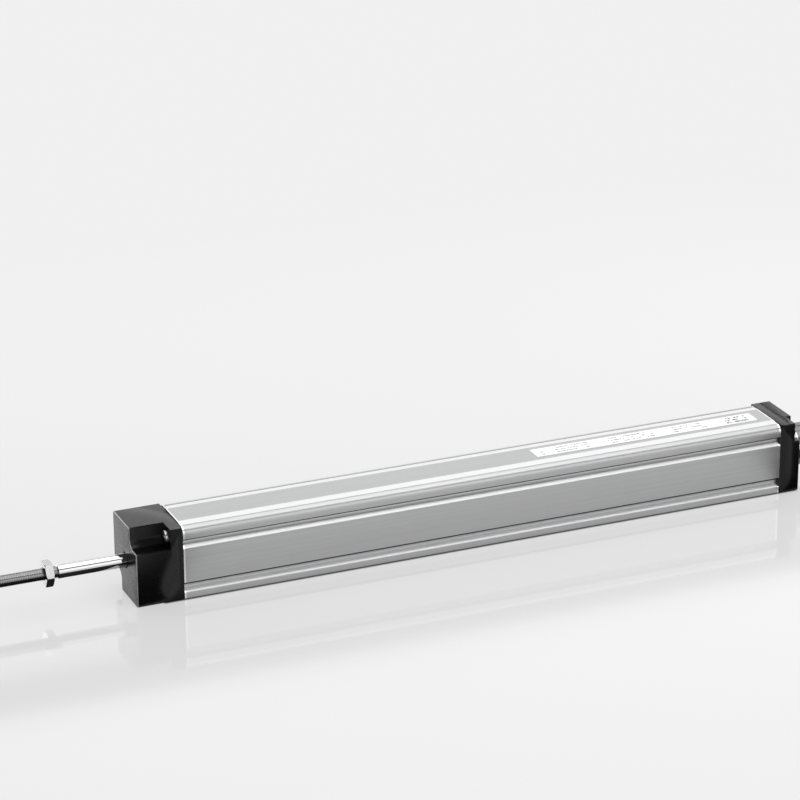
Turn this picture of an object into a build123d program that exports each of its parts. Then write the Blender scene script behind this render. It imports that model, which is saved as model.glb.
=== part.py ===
from build123d import *
from math import cos, radians, sin, sqrt
import os

# Linear potentiometer of the pull rod kind, in millimetres.
# +X runs from the rod end to the connector end, +Z is up and -Y is the near side.
# The origin is the middle of the aluminium profile's underside.

# Stroke and running gaps
electrical_stroke = 250.0
overtravel = 2.5
stop_gap = 0.4
slide_gap = 0.1
rod_gap = 0.05
fit_gap = 0.05
loose_gap = 0.15

# Aluminium profile, outside
profile_width = 29.0
shoulder_height = 32.7
plateau_rise = 0.2
plateau_from_side = 7.4
facet_from_side = 3.6
seam_line_width = 0.3
seam_line_depth = 0.2
top_corner_radius = 3.2
bottom_corner_radius = 0.6
groove_depth = 2.6
low_groove_foot = 3.2
low_groove_apex = 5.0
low_groove_top = 7.3
high_groove_foot_from_top = 9.5
high_groove_apex_from_top = 7.1
high_groove_brow_from_top = 5.6
groove_root_radius = 0.2

# Aluminium profile, inside
side_wall = 4.3
chamber_from_top = 8.5
chamber_corner_radius = 0.8
channel_half = 5.4
keel_wall = 2.4
crown_wall = 2.5
slot_depth = 0.95

# End screws and their corner notches
screw_from_side = 4.9
screw_from_top = 4.8
screw_radius = 1.5
screw_head_radius = 3.0
screw_head_height = 2.2
screw_head_edge = 1.0
screw_length = 14.0
cross_width = 0.8
cross_length = 3.4
cross_depth = 1.1
notch_radius = 3.9
lip_radius = 0.5

# Front head, gaskets and rear cap
head_length = 21.0
head_flange = 4.9
head_edge_radius = 0.5
nose_edge_radius = 0.4
gasket_thickness = 0.6
gasket_inset = 0.25
gasket_corner_radius = 3.0
spigot_length = 3.0
cap_length = 10.0
cap_flange = 6.6
parting_line_width = 0.4
parting_line_depth = 0.25
parting_line_place = 4.5

# Rod, its guide and its stops
rod_radius = 3.0
rod_height = 16.05
rod_free_length = 60.0
rod_thread_length = 30.0
rod_end_chamfer = 0.7
thread_start_groove = 0.25
thread_start_width = 0.8
bore_front_radius = 3.6
bore_front_wall = 1.5
bushing_radius = 5.0
bushing_flange_radius = 6.0
bushing_flange = 1.2
seal_length = 3.0
seal_lip = 0.9
seal_lip_slope = 0.5
seal_mouth = 0.4
seal_throat = 0.6
bumper_length = 2.5
bumper_bore_radius = 3.6
bumper_chamfer = 0.4
plug_chamfer = 0.6

# Lock nut
nut_flats = 10.0
nut_thickness = 5.0
nut_from_end = 24.2
nut_turn = 16.0
nut_corner_drop = 0.6
nut_face_inset = 0.2
nut_bore_gap = 0.025

# Element board
board_thickness = 1.6
board_end_gap = 0.1
track_width = 4.6
track_thickness = 0.1
track_end_margin = 9.0
eyelet_radius = 0.6
eyelet_head_radius = 1.1
eyelet_head = 0.35
eyelet_from_end = 2.6
crimp_radius = 0.8
crimp_length = 3.2
crimp_drop = 1.3
wire_radius = 0.4
wire_bend_radius = 2.4
wire_turn_offset = 0.8

# Carriage
carriage_length = 15.0
coupling_plate_thickness = 2.5
coupling_plate_corner = 2.0
coupling_hole_share = 0.8
coupling_screw_radius = 1.0
coupling_screw_head_radius = 1.8
coupling_screw_head = 1.2
coupling_screw_length = 6.5
ball_radius = 4.0
ball_gap = 0.2
socket_wall = 0.45
ball_neck_share = 0.55
stud_step = 0.7
stud_length = 8.0
stud_bore_spare = 0.5
rod_shoulder_gap = 0.4
block_side_wall = 0.9
block_lift = 1.8
block_top_gap = 0.6
rib_half = 4.5
rib_top_gap = 2.9
runner_thickness = 1.6
runner_height = 9.0
runner_foot_width = 2.4
holder_thickness = 1.0
holder_side_gap = 0.5
holder_end_margin = 0.5
holder_corner = 1.0
spring_thickness = 0.3
spring_width = 6.0
spring_end_margin = 1.5
wiper_thickness = 0.2
wiper_touch_gap = 0.15
wiper_side_margin = 0.6
finger_count = 4
finger_width = 0.7
finger_pitch = 1.1
finger_reach = 7.0
finger_foot = 1.0
wiper_root_length = 4.0

# Rear connector
shell_radius = 10.0
shell_wall = 1.6
shell_length = 14.0
shell_flange_radius = 11.0
shell_flange = 2.0
shell_edge = 0.6
neck_radius = 7.5
neck_bore_radius = 6.0
neck_length = 5.0
seal_ring_section = 0.65
seal_ring_radius = 9.3
insert_thickness = 3.0
insert_seat = 0.5
retaining_ring = 1.2
retaining_ring_wall = 1.0
contact_radius = 0.8
contact_circle = 4.3
contact_reach = 8.0
contact_tail = 3.0
contact_tail_radius = 0.9
contact_tip_radius = 0.56
key_width = 1.6
key_height = 0.9

# Data label
label_length = 109.0
label_width = 8.75
label_thickness = 0.1
label_from_rear = 6.3
label_corner = 0.6

# How far a cutting shape runs past the face that it cuts
cut_over = 1.0

# Places worked out from the sizes above
half_width = profile_width / 2
plateau_half = half_width - plateau_from_side
facet_half = half_width - facet_from_side
high_groove_foot = shoulder_height - high_groove_foot_from_top
high_groove_apex = shoulder_height - high_groove_apex_from_top
high_groove_top = shoulder_height - high_groove_brow_from_top
block_floor = rod_height - ball_radius - ball_gap - socket_wall
track_top = block_floor - block_lift
board_top = track_top - track_thickness
chamber_floor = board_top - board_thickness
chamber_half = half_width - side_wall
chamber_ceiling = shoulder_height - chamber_from_top
full_height = shoulder_height + plateau_rise
travel = electrical_stroke + 2 * overtravel
front_stack = spigot_length + bushing_flange + bumper_length
rear_stack = spigot_length + bumper_length
profile_length = travel + carriage_length + 2 * stop_gap + front_stack + rear_stack
profile_front = -profile_length / 2
profile_rear = profile_length / 2
head_front = profile_front - head_length
head_back = profile_front - gasket_thickness
head_shoulder = head_back - head_flange
front_spigot_end = profile_front + spigot_length
cap_front = profile_rear + gasket_thickness
cap_shoulder = cap_front + cap_flange
cap_rear = profile_rear + cap_length
rear_spigot_end = profile_rear - spigot_length
spigot_floor = chamber_floor + loose_gap
spigot_ceiling = chamber_ceiling - loose_gap
spigot_half = chamber_half - loose_gap
screw_y = half_width - screw_from_side
screw_z = shoulder_height - screw_from_top
screw_hole_radius = screw_radius + fit_gap
board_half = chamber_half + slot_depth - fit_gap
channel_floor = keel_wall
channel_ceiling = full_height - crown_wall
rear_bumper_face = rear_spigot_end - bumper_length
carriage_rear = rear_bumper_face - stop_gap
carriage_front = carriage_rear - carriage_length
block_front = carriage_front + coupling_plate_thickness
block_half = chamber_half - block_side_wall
runner_outer = chamber_half - slide_gap
runner_inner = runner_outer - runner_thickness
holder_half = runner_outer - runner_foot_width - holder_side_gap
wiper_width = (finger_count - 1) * finger_pitch + finger_width
track_offset = holder_half - wiper_side_margin - wiper_width / 2
coupling_screw_offset = (ball_radius + ball_gap + runner_inner - slide_gap) / 2
coupling_plate_half = coupling_screw_offset + coupling_screw_head_radius + 2 * fit_gap
ball_neck_radius = ball_neck_share * ball_radius
coupling_hole_radius = coupling_hole_share * ball_radius
stud_radius = ball_neck_radius - stud_step
block_top = chamber_ceiling - block_top_gap
rib_top = channel_ceiling - rib_top_gap
ball_seat = sqrt(ball_radius**2 - coupling_hole_radius**2)
ball_place = block_front + ball_seat + slide_gap
rod_free_end = head_front - rod_free_length
rod_thread_end = rod_free_end + rod_thread_length
rod_inner_end = carriage_front - rod_shoulder_gap
terminal_place = rear_spigot_end - eyelet_from_end
terminal_offset = contact_circle * cos(radians(30))
wire_start_height = chamber_floor - crimp_drop
shell_inner_radius = shell_radius - shell_wall
insert_place = cap_rear + insert_seat
insert_face = insert_place + insert_thickness
shell_end = cap_rear + shell_length

os.makedirs("parts", exist_ok=True)


def section_plane(x):
    """Plane across the sensor at x: its own x is world Y and its own y is world Z."""
    return Plane.YZ.offset(x)


def side_plane(y):
    """Plane along the sensor at y: its own x is world X and its own y is world Z."""
    return Plane((0, y, 0), x_dir=(1, 0, 0), z_dir=(0, -1, 0))


def write(sub_part, name):
    """Label a finished piece and write it as one STEP file."""
    sub_part.part.label = name
    export_step(sub_part.part, f"parts/{name}.step")


def corners_at(outline, half, heights):
    """Corners of an outline at both sides of its middle line, at the given heights."""
    return outline.vertices().filter_by(
        lambda v: abs(abs(v.X) - half) < 0.01 and any(abs(v.Y - height) < 0.01 for height in heights)
    )


def profile_outline():
    """Outer outline of the profile: base, two side grooves, shoulder, seam line, facet and plateau."""
    groove_root = half_width - groove_depth
    with BuildSketch() as outline:
        with BuildLine():
            Polyline(
                (0, 0),
                (half_width, 0),
                (half_width, low_groove_foot),
                (groove_root, low_groove_apex),
                (half_width, low_groove_top),
                (half_width, high_groove_foot),
                (groove_root, high_groove_apex),
                (half_width, high_groove_top),
                (half_width, shoulder_height),
                (facet_half + seam_line_width, shoulder_height),
                (facet_half, shoulder_height - seam_line_depth),
                (plateau_half, full_height),
                (0, full_height),
            )
            mirror(about=Plane.YZ)
        make_face()
        fillet(corners_at(outline, half_width, [shoulder_height]), top_corner_radius)
        fillet(corners_at(outline, half_width, [0]), bottom_corner_radius)
        fillet(corners_at(outline, groove_root, [low_groove_apex, high_groove_apex]), groove_root_radius)
    return outline.sketch


def chamber_outline():
    """Inner outline of the profile: the chamber with its board slots and the two wire channels."""
    slot_height = board_thickness + 2 * fit_gap
    with BuildSketch() as outline:
        with Locations((0, (chamber_floor + chamber_ceiling) / 2)):
            Rectangle(2 * chamber_half, chamber_ceiling - chamber_floor)
        fillet(corners_at(outline, chamber_half, [chamber_ceiling]), chamber_corner_radius)
        with Locations((0, (channel_floor + channel_ceiling) / 2)):
            Rectangle(2 * channel_half, channel_ceiling - channel_floor)
        with Locations((0, chamber_floor + slot_height / 2)):
            Rectangle(2 * (chamber_half + slot_depth), slot_height)
    return outline.sketch


def end_block_outline():
    """Full rectangle of the head and the cap, with its long edges rounded."""
    with Locations((0, shoulder_height / 2)):
        RectangleRounded(profile_width, shoulder_height, head_edge_radius)


def notched_outline():
    """End block outline less the two corner notches, which follow the screws and open to the corner."""
    with BuildSketch() as outline:
        end_block_outline()
        notch_width = screw_from_side + notch_radius
        notch_height = screw_from_top + notch_radius
        for side in (-1, 1):
            with Locations((side * half_width, (1 - side) * shoulder_height / 2)):
                RectangleRounded(2 * notch_width, 2 * notch_height, notch_radius, mode=Mode.SUBTRACT)
        lips = outline.vertices().filter_by(is_notch_lip)
        fillet(lips, lip_radius)
    return outline.sketch


def is_notch_lip(corner):
    """True for the four sharp corners where a notch meets the end block's outline."""
    notch_width = screw_from_side + notch_radius
    notch_height = screw_from_top + notch_radius
    lips = [(notch_width - half_width, shoulder_height), (-half_width, shoulder_height - notch_height)]
    lips += [(-y, shoulder_height - z) for y, z in lips]
    return any(abs(corner.X - y) < 0.01 and abs(corner.Y - z) < 0.01 for y, z in lips)


def screw_places(count=2):
    """Places of the end screws: near top and far bottom for two, all four ports for four."""
    places = [(-screw_y, screw_z), (screw_y, shoulder_height - screw_z)]
    if count == 4:
        places += [(screw_y, screw_z), (-screw_y, shoulder_height - screw_z)]
    return places


def spigot_outline():
    """Rectangle that enters the chamber and centres the head or the cap on the profile."""
    with Locations((0, (spigot_floor + spigot_ceiling) / 2)):
        RectangleRounded(2 * spigot_half, spigot_ceiling - spigot_floor, chamber_corner_radius)


def disc(x, radius, length, mode=Mode.ADD, y=0.0, z=rod_height):
    """Round bar along X from x, on the rod's axis unless placed elsewhere."""
    with BuildSketch(section_plane(x)) as face:
        with Locations((y, z)):
            Circle(radius)
    extrude(face.sketch, amount=length, mode=mode)


def turned(points):
    """Solid turned about the rod's axis from an outline of (x, radius) points."""
    with BuildSketch(side_plane(0)) as face:
        with BuildLine():
            Polyline([(x, rod_height + radius) for x, radius in points], close=True)
        make_face()
    revolve(face.sketch, axis=Axis((0, 0, rod_height), (1, 0, 0)))


# Housing profile: one extrusion with clamp grooves, chamber, wire channels and four screw ports
with BuildPart() as housing_profile:
    with BuildSketch(section_plane(profile_front)):
        add(profile_outline())
        add(chamber_outline(), mode=Mode.SUBTRACT)
        with Locations(*screw_places(4)):
            Circle(screw_hole_radius, mode=Mode.SUBTRACT)
    extrude(amount=profile_length)
write(housing_profile, "housing_profile")

# Front head: flange, notched nose, spigot and the stepped bore for the seal and the bushing
with BuildPart() as front_head:
    with BuildSketch(section_plane(head_shoulder)):
        end_block_outline()
    extrude(amount=head_flange)
    with BuildSketch(section_plane(head_front)):
        add(notched_outline())
    extrude(amount=head_shoulder - head_front)
    nose_edges = front_head.faces().sort_by(Axis.X)[0].outer_wire().edges()
    fillet(nose_edges, nose_edge_radius)
    with BuildSketch(section_plane(head_back)):
        spigot_outline()
    extrude(amount=front_spigot_end - head_back)
    bore_length = front_spigot_end - head_front + 2 * cut_over
    disc(head_front - cut_over, bore_front_radius, bore_length, mode=Mode.SUBTRACT)
    bore_step = head_front + bore_front_wall
    disc(bore_step, bushing_radius, front_spigot_end - bore_step + cut_over, mode=Mode.SUBTRACT)
    with BuildSketch(section_plane(head_shoulder - cut_over)):
        with Locations(*screw_places()):
            Circle(screw_hole_radius)
    extrude(amount=head_flange + 2 * cut_over, mode=Mode.SUBTRACT)
write(front_head, "front_head")


def gasket_outline():
    """Flat gasket: the profile's outline pulled in a little, open over the chamber and the screws."""
    with BuildSketch() as outline:
        with Locations((0, shoulder_height / 2)):
            RectangleRounded(
                profile_width - 2 * gasket_inset, shoulder_height - 2 * gasket_inset, gasket_corner_radius
            )
        with Locations((0, (chamber_floor + chamber_ceiling) / 2)):
            Rectangle(2 * chamber_half, chamber_ceiling - chamber_floor, mode=Mode.SUBTRACT)
        with Locations((0, (channel_floor + channel_ceiling) / 2)):
            Rectangle(2 * channel_half, channel_ceiling - channel_floor, mode=Mode.SUBTRACT)
        with Locations(*screw_places()):
            Circle(screw_hole_radius, mode=Mode.SUBTRACT)
    return outline.sketch


# Gaskets between the profile's ends and the head and cap
with BuildPart() as front_gasket:
    with BuildSketch(section_plane(head_back)):
        add(gasket_outline())
    extrude(amount=gasket_thickness)
write(front_gasket, "front_gasket")

with BuildPart() as rear_gasket:
    with BuildSketch(section_plane(profile_rear)):
        add(gasket_outline())
    extrude(amount=gasket_thickness)
write(rear_gasket, "rear_gasket")

# Wiper seal: a ring behind the head's front wall with a lip that leans out along the rod
seal_front = head_front + bore_front_wall
seal_outer = bushing_radius - fit_gap
lip_bore = rod_radius + rod_gap
with BuildPart() as rod_wiper_seal:
    turned([
        (seal_front, lip_bore + seal_mouth),
        (seal_front, seal_outer),
        (seal_front + seal_length, seal_outer),
        (seal_front + seal_length, lip_bore + seal_throat),
        (seal_front + seal_lip + seal_lip_slope, lip_bore + seal_throat),
        (seal_front + seal_lip, lip_bore),
        (seal_front + seal_lip / 2, lip_bore),
    ])
write(rod_wiper_seal, "rod_wiper_seal")

# Rod bushing: a plain bearing pushed in from the inside, with its flange on the spigot's end
bushing_front = seal_front + seal_length
with BuildPart() as rod_bushing:
    turned([
        (bushing_front, rod_radius + rod_gap),
        (bushing_front, bushing_radius - fit_gap),
        (front_spigot_end, bushing_radius - fit_gap),
        (front_spigot_end, bushing_flange_radius),
        (front_spigot_end + bushing_flange, bushing_flange_radius),
        (front_spigot_end + bushing_flange, rod_radius + rod_gap),
    ])
write(rod_bushing, "rod_bushing")

# Front bumper: a rubber ring that stops the carriage at full stroke
front_bumper_place = front_spigot_end + bushing_flange
with BuildPart() as front_bumper:
    disc(front_bumper_place, bushing_flange_radius, bumper_length)
    disc(front_bumper_place, bumper_bore_radius, bumper_length, mode=Mode.SUBTRACT)
    rim = front_bumper.edges().filter_by(GeomType.CIRCLE).sort_by(Axis.X)[-2:]
    chamfer(rim, bumper_chamfer)
write(front_bumper, "front_bumper")


def end_screw(seat, way, y, z):
    """Pan head screw along X: its head stands on the seat and its shank runs the other way."""
    disc(seat, screw_head_radius, -way * screw_head_height, y=y, z=z)
    head_rim = edges(Select.LAST).sort_by(Axis.X)[0 if way > 0 else -1]
    fillet(head_rim, screw_head_edge)
    with BuildSketch(section_plane(seat - way * screw_head_height)) as cross:
        with Locations((y, z)):
            Rectangle(cross_length, cross_width)
            Rectangle(cross_width, cross_length)
    extrude(cross.sketch, amount=way * cross_depth, mode=Mode.SUBTRACT)
    disc(seat, screw_radius, way * screw_length, y=y, z=z)


# End screws, two at each end, each a solid of its own
with BuildPart() as front_screws:
    for place_y, place_z in screw_places():
        end_screw(head_shoulder, 1, place_y, place_z)
write(front_screws, "front_screws")

with BuildPart() as rear_screws:
    for place_y, place_z in screw_places():
        end_screw(cap_shoulder, -1, place_y, place_z)
write(rear_screws, "rear_screws")

# Rear cap: flange and notched rear, a wire chamber inside, the connector's bore and its seal groove
wire_chamber_end = cap_rear - neck_length
with BuildPart() as rear_cap:
    with BuildSketch(section_plane(cap_front)):
        end_block_outline()
    extrude(amount=cap_flange)
    with BuildSketch(section_plane(cap_shoulder)):
        add(notched_outline())
    extrude(amount=cap_rear - cap_shoulder)
    tail_edges = rear_cap.faces().sort_by(Axis.X)[-1].outer_wire().edges()
    fillet(tail_edges, nose_edge_radius)
    with BuildSketch(section_plane(rear_spigot_end)):
        spigot_outline()
    extrude(amount=cap_front - rear_spigot_end)
    disc(rear_spigot_end, neck_bore_radius, wire_chamber_end - rear_spigot_end, mode=Mode.SUBTRACT)
    with BuildSketch(section_plane(cap_front)):
        with Locations((0, (channel_floor + rod_height) / 2)):
            Rectangle(2 * channel_half, rod_height - channel_floor)
    extrude(amount=wire_chamber_end - cap_front, mode=Mode.SUBTRACT)
    disc(wire_chamber_end, neck_radius + fit_gap, neck_length, mode=Mode.SUBTRACT)
    with BuildSketch(section_plane(cap_rear)):
        with Locations((0, rod_height)):
            Circle(seal_ring_radius + seal_ring_section + fit_gap)
            Circle(seal_ring_radius - seal_ring_section - fit_gap, mode=Mode.SUBTRACT)
    extrude(amount=-2 * seal_ring_section, mode=Mode.SUBTRACT)
    with BuildSketch(section_plane(cap_front - cut_over)):
        with Locations(*screw_places()):
            Circle(screw_hole_radius)
    extrude(amount=cap_flange + 2 * cut_over, mode=Mode.SUBTRACT)
    with BuildSketch(Plane.XY.offset(shoulder_height - parting_line_depth)):
        with Locations((profile_rear + parting_line_place, 0)):
            Rectangle(parting_line_width, profile_width + cut_over)
    extrude(amount=parting_line_depth, mode=Mode.SUBTRACT)
write(rear_cap, "rear_cap")

# Rear bumper: a rubber plug in the spigot's bore that stops the carriage when the rod is pushed home
with BuildPart() as rear_bumper:
    disc(rear_spigot_end, neck_bore_radius - fit_gap, spigot_length)
    disc(rear_bumper_face, neck_bore_radius - fit_gap, bumper_length)
    nose_rim = rear_bumper.edges().filter_by(GeomType.CIRCLE).sort_by(Axis.X)[0]
    chamfer(nose_rim, plug_chamfer)
write(rear_bumper, "rear_bumper")

# Connector shell: screwed neck, flange and the round collar that the plug's nut turns onto
with BuildPart() as connector_shell:
    turned([
        (wire_chamber_end, neck_bore_radius),
        (wire_chamber_end, neck_radius),
        (cap_rear, neck_radius),
        (cap_rear, shell_flange_radius),
        (cap_rear + shell_flange - shell_edge, shell_flange_radius),
        (cap_rear + shell_flange, shell_flange_radius - shell_edge),
        (cap_rear + shell_flange, shell_radius),
        (shell_end - shell_edge, shell_radius),
        (shell_end, shell_radius - shell_edge),
        (shell_end, shell_inner_radius),
        (insert_place, shell_inner_radius),
        (insert_place, neck_bore_radius),
    ])
    with BuildSketch(section_plane(insert_face + retaining_ring + cut_over)):
        with Locations((0, rod_height + shell_inner_radius)):
            Rectangle(key_width, 2 * key_height)
    extrude(amount=contact_reach - retaining_ring - cut_over)
write(connector_shell, "connector_shell")

# Ring seal under the connector's flange
with BuildPart() as connector_o_ring:
    with BuildSketch(side_plane(0)):
        with Locations((cap_rear - seal_ring_section, rod_height + seal_ring_radius)):
            Circle(seal_ring_section)
    revolve(axis=Axis((0, 0, rod_height), (1, 0, 0)))
write(connector_o_ring, "connector_o_ring")


def contact_places():
    """Places of the five contacts: every 60 degrees but the top one, where the key is."""
    turns = [30, 150, 210, 270, 330]
    return [
        (contact_circle * cos(radians(turn)), rod_height + contact_circle * sin(radians(turn)))
        for turn in turns
    ]


# Insulating insert, its retaining ring and the contacts
with BuildPart() as connector_insert:
    disc(insert_place, shell_inner_radius - fit_gap, insert_thickness)
    with BuildSketch(section_plane(insert_place)):
        with Locations(*contact_places()):
            Circle(contact_radius + fit_gap)
    extrude(amount=insert_thickness, mode=Mode.SUBTRACT)
write(connector_insert, "connector_insert")

with BuildPart() as connector_retaining_ring:
    disc(insert_face, shell_inner_radius - fit_gap, retaining_ring)
    disc(insert_face, shell_inner_radius - retaining_ring_wall, retaining_ring, mode=Mode.SUBTRACT)
write(connector_retaining_ring, "connector_retaining_ring")

with BuildPart() as connector_pins:
    for place_y, place_z in contact_places():
        disc(insert_place, contact_radius, insert_thickness + contact_reach, y=place_y, z=place_z)
        tip = edges(Select.LAST).sort_by(Axis.X)[-1]
        fillet(tip, contact_tip_radius)
        disc(insert_place - contact_tail, contact_tail_radius, contact_tail, y=place_y, z=place_z)
write(connector_pins, "connector_pins")

# Element board in its side slots, with an eyelet hole at each terminal
board_end = rear_spigot_end - board_end_gap
with BuildPart() as element_board:
    with BuildSketch(section_plane(-board_end)):
        with Locations((0, chamber_floor + board_thickness / 2)):
            Rectangle(2 * board_half, board_thickness)
    extrude(amount=2 * board_end)
    with BuildSketch(Plane.XY.offset(chamber_floor)):
        with Locations(*[(terminal_place, place) for place in (-terminal_offset, 0, terminal_offset)]):
            Circle(eyelet_radius + fit_gap)
    extrude(amount=board_thickness, mode=Mode.SUBTRACT)
write(element_board, "element_board")


def track(y):
    """Thin printed strip on the board, as long as the stroke needs."""
    track_end = board_end - track_end_margin
    with BuildSketch(Plane.XY.offset(board_top)) as strip:
        with Locations((0, y)):
            Rectangle(2 * track_end, track_width)
    extrude(strip.sketch, amount=track_thickness)


with BuildPart() as resistive_track:
    track(-track_offset)
write(resistive_track, "resistive_track")

with BuildPart() as collector_track:
    track(track_offset)
write(collector_track, "collector_track")

# Track terminals: an eyelet through the board and a crimp barrel under it for each lead
with BuildPart() as track_terminals:
    for place_y in (-terminal_offset, 0, terminal_offset):
        with BuildSketch(Plane.XY.offset(board_top)):
            with Locations((terminal_place, place_y)):
                Circle(eyelet_head_radius)
        extrude(amount=eyelet_head)
        with BuildSketch(Plane.XY.offset(wire_start_height)):
            with Locations((terminal_place, place_y)):
                Circle(eyelet_radius)
        extrude(amount=board_top - wire_start_height)
        disc(terminal_place - crimp_radius, crimp_radius, crimp_length, y=place_y, z=wire_start_height)
write(track_terminals, "track_terminals")


def lead_wire(place_y, place_z):
    """Insulated lead from a crimp barrel through the wire chamber to a contact's tail."""
    start = terminal_place - crimp_radius + crimp_length
    end = insert_place - contact_tail
    turn = (cap_front + wire_chamber_end) / 2 + wire_turn_offset
    with BuildLine() as route:
        FilletPolyline(
            (start, place_y, wire_start_height),
            (turn, place_y, wire_start_height),
            (turn, place_y, place_z),
            (end, place_y, place_z),
            radius=wire_bend_radius,
        )
    with BuildSketch(Plane((start, place_y, wire_start_height), x_dir=(0, 1, 0), z_dir=(1, 0, 0))) as face:
        Circle(wire_radius)
    sweep(face.sketch, path=route.wire())


with BuildPart() as lead_wires:
    for place_y, place_z in contact_places()[2:]:
        lead_wire(place_y, place_z)
write(lead_wires, "lead_wires")

# Carriage block: runs in the chamber, with a rib in the upper channel and a socket for the rod's ball
runner_base = track_top
runner_top = runner_base + runner_height
with BuildPart() as carriage_block:
    with BuildSketch(section_plane(block_front)):
        with Locations((0, (block_floor + block_top) / 2)):
            RectangleRounded(2 * block_half, block_top - block_floor, chamber_corner_radius)
        with Locations((0, (rod_height + rib_top) / 2)):
            Rectangle(2 * rib_half, rib_top - rod_height)
        step_middle = (runner_inner + half_width) / 2
        step_height = runner_top - block_floor + 2 * cut_over
        for side in (-1, 1):
            with Locations((side * step_middle, (block_floor + runner_top) / 2 - cut_over)):
                Rectangle(half_width - runner_inner, step_height, mode=Mode.SUBTRACT)
    extrude(amount=carriage_rear - block_front)
    socket_end = ball_place + ball_radius + slide_gap
    disc(block_front, ball_radius + ball_gap, socket_end - block_front, mode=Mode.SUBTRACT)
    with BuildSketch(section_plane(block_front)):
        with Locations((-coupling_screw_offset, rod_height), (coupling_screw_offset, rod_height)):
            Circle(coupling_screw_radius + fit_gap)
    extrude(amount=coupling_screw_length, mode=Mode.SUBTRACT)
write(carriage_block, "carriage_block")

# Slide runners: one angled strip at each side, on the chamber's wall and the board's edge
runner_middle = (runner_inner + runner_outer) / 2
runner_low = runner_base + slide_gap
foot_height = block_floor - runner_low
foot_middle = runner_outer - runner_foot_width / 2
with BuildPart() as slide_runners:
    for side in (-1, 1):
        with BuildSketch(section_plane(block_front)):
            with Locations((side * runner_middle, (runner_base + runner_top) / 2 + slide_gap)):
                Rectangle(runner_thickness, runner_height - 2 * slide_gap)
            with Locations((side * foot_middle, runner_low + foot_height / 2)):
                Rectangle(runner_foot_width, foot_height)
        extrude(amount=carriage_rear - block_front)
write(slide_runners, "slide_runners")

# Coupling plate and its screws: they keep the ball in its socket
with BuildPart() as coupling_plate:
    with BuildSketch(section_plane(carriage_front)):
        with Locations((0, rod_height)):
            RectangleRounded(2 * coupling_plate_half, 2 * (rod_height - block_floor), coupling_plate_corner)
            Circle(coupling_hole_radius, mode=Mode.SUBTRACT)
        with Locations((-coupling_screw_offset, rod_height), (coupling_screw_offset, rod_height)):
            Circle(coupling_screw_radius + fit_gap, mode=Mode.SUBTRACT)
    extrude(amount=coupling_plate_thickness)
    with BuildSketch(section_plane(carriage_front)):
        with Locations((-coupling_screw_offset, rod_height), (coupling_screw_offset, rod_height)):
            Circle(coupling_screw_head_radius + fit_gap)
    extrude(amount=coupling_screw_head, mode=Mode.SUBTRACT)
write(coupling_plate, "coupling_plate")

with BuildPart() as coupling_screws:
    for side in (-1, 1):
        screw_place = side * coupling_screw_offset
        head_inner = carriage_front + coupling_screw_head
        disc(carriage_front, coupling_screw_head_radius, coupling_screw_head, y=screw_place)
        disc(head_inner, coupling_screw_radius, coupling_screw_length, y=screw_place)
write(coupling_screws, "coupling_screws")

# Leaf spring on the rib: presses the carriage down onto the board's edges
block_middle = (block_front + carriage_rear) / 2
spring_reach = (carriage_rear - block_front) / 2 - spring_end_margin
spring_low = rib_top + spring_thickness / 2
spring_high = channel_ceiling - slide_gap - spring_thickness / 2
with BuildPart() as carriage_spring:
    with BuildSketch(side_plane(spring_width / 2)):
        with BuildLine(mode=Mode.PRIVATE) as bow:
            ThreePointArc(
                (block_middle - spring_reach, spring_low),
                (block_middle, spring_high),
                (block_middle + spring_reach, spring_low),
            )
        SlotArc(bow.edge(), spring_thickness)
    extrude(amount=spring_width)
write(carriage_spring, "carriage_spring")

# Wiper holder: insulating plate under the block
with BuildPart() as wiper_holder:
    with BuildSketch(Plane.XY.offset(block_floor - holder_thickness)):
        with Locations((block_middle, 0)):
            RectangleRounded(
                carriage_rear - block_front - 2 * holder_end_margin, 2 * holder_half, holder_corner
            )
    extrude(amount=holder_thickness)
write(wiper_holder, "wiper_holder")


def wiper(y):
    """Contact spring: a flat root under the holder and fingers that bend down to the track."""
    root_top = block_floor - holder_thickness
    contact_height = track_top + wiper_touch_gap
    root_start = block_middle - (wiper_root_length + finger_reach) / 2
    bend = root_start + wiper_root_length
    fingers = [y + (index - (finger_count - 1) / 2) * finger_pitch for index in range(finger_count)]
    with BuildSketch(side_plane(y + wiper_width / 2)) as root:
        with Locations((root_start + wiper_root_length / 2, root_top - wiper_thickness / 2)):
            Rectangle(wiper_root_length, wiper_thickness)
    extrude(root.sketch, amount=wiper_width)
    for place in fingers:
        with BuildSketch(side_plane(place + finger_width / 2)) as finger:
            with BuildLine():
                Polyline(
                    (bend, root_top - wiper_thickness),
                    (bend, root_top),
                    (bend + finger_reach - finger_foot, contact_height + wiper_thickness),
                    (bend + finger_reach, contact_height + 2 * wiper_thickness),
                    (bend + finger_reach, contact_height + wiper_thickness),
                    (bend + finger_reach - finger_foot, contact_height),
                    close=True,
                )
            make_face()
        extrude(finger.sketch, amount=finger_width)


with BuildPart() as resistive_wiper:
    wiper(-track_offset)
write(resistive_wiper, "resistive_wiper")

with BuildPart() as collector_wiper:
    wiper(track_offset)
write(collector_wiper, "collector_wiper")

stud_bore_end = rod_inner_end - stud_length - stud_bore_spare

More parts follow.
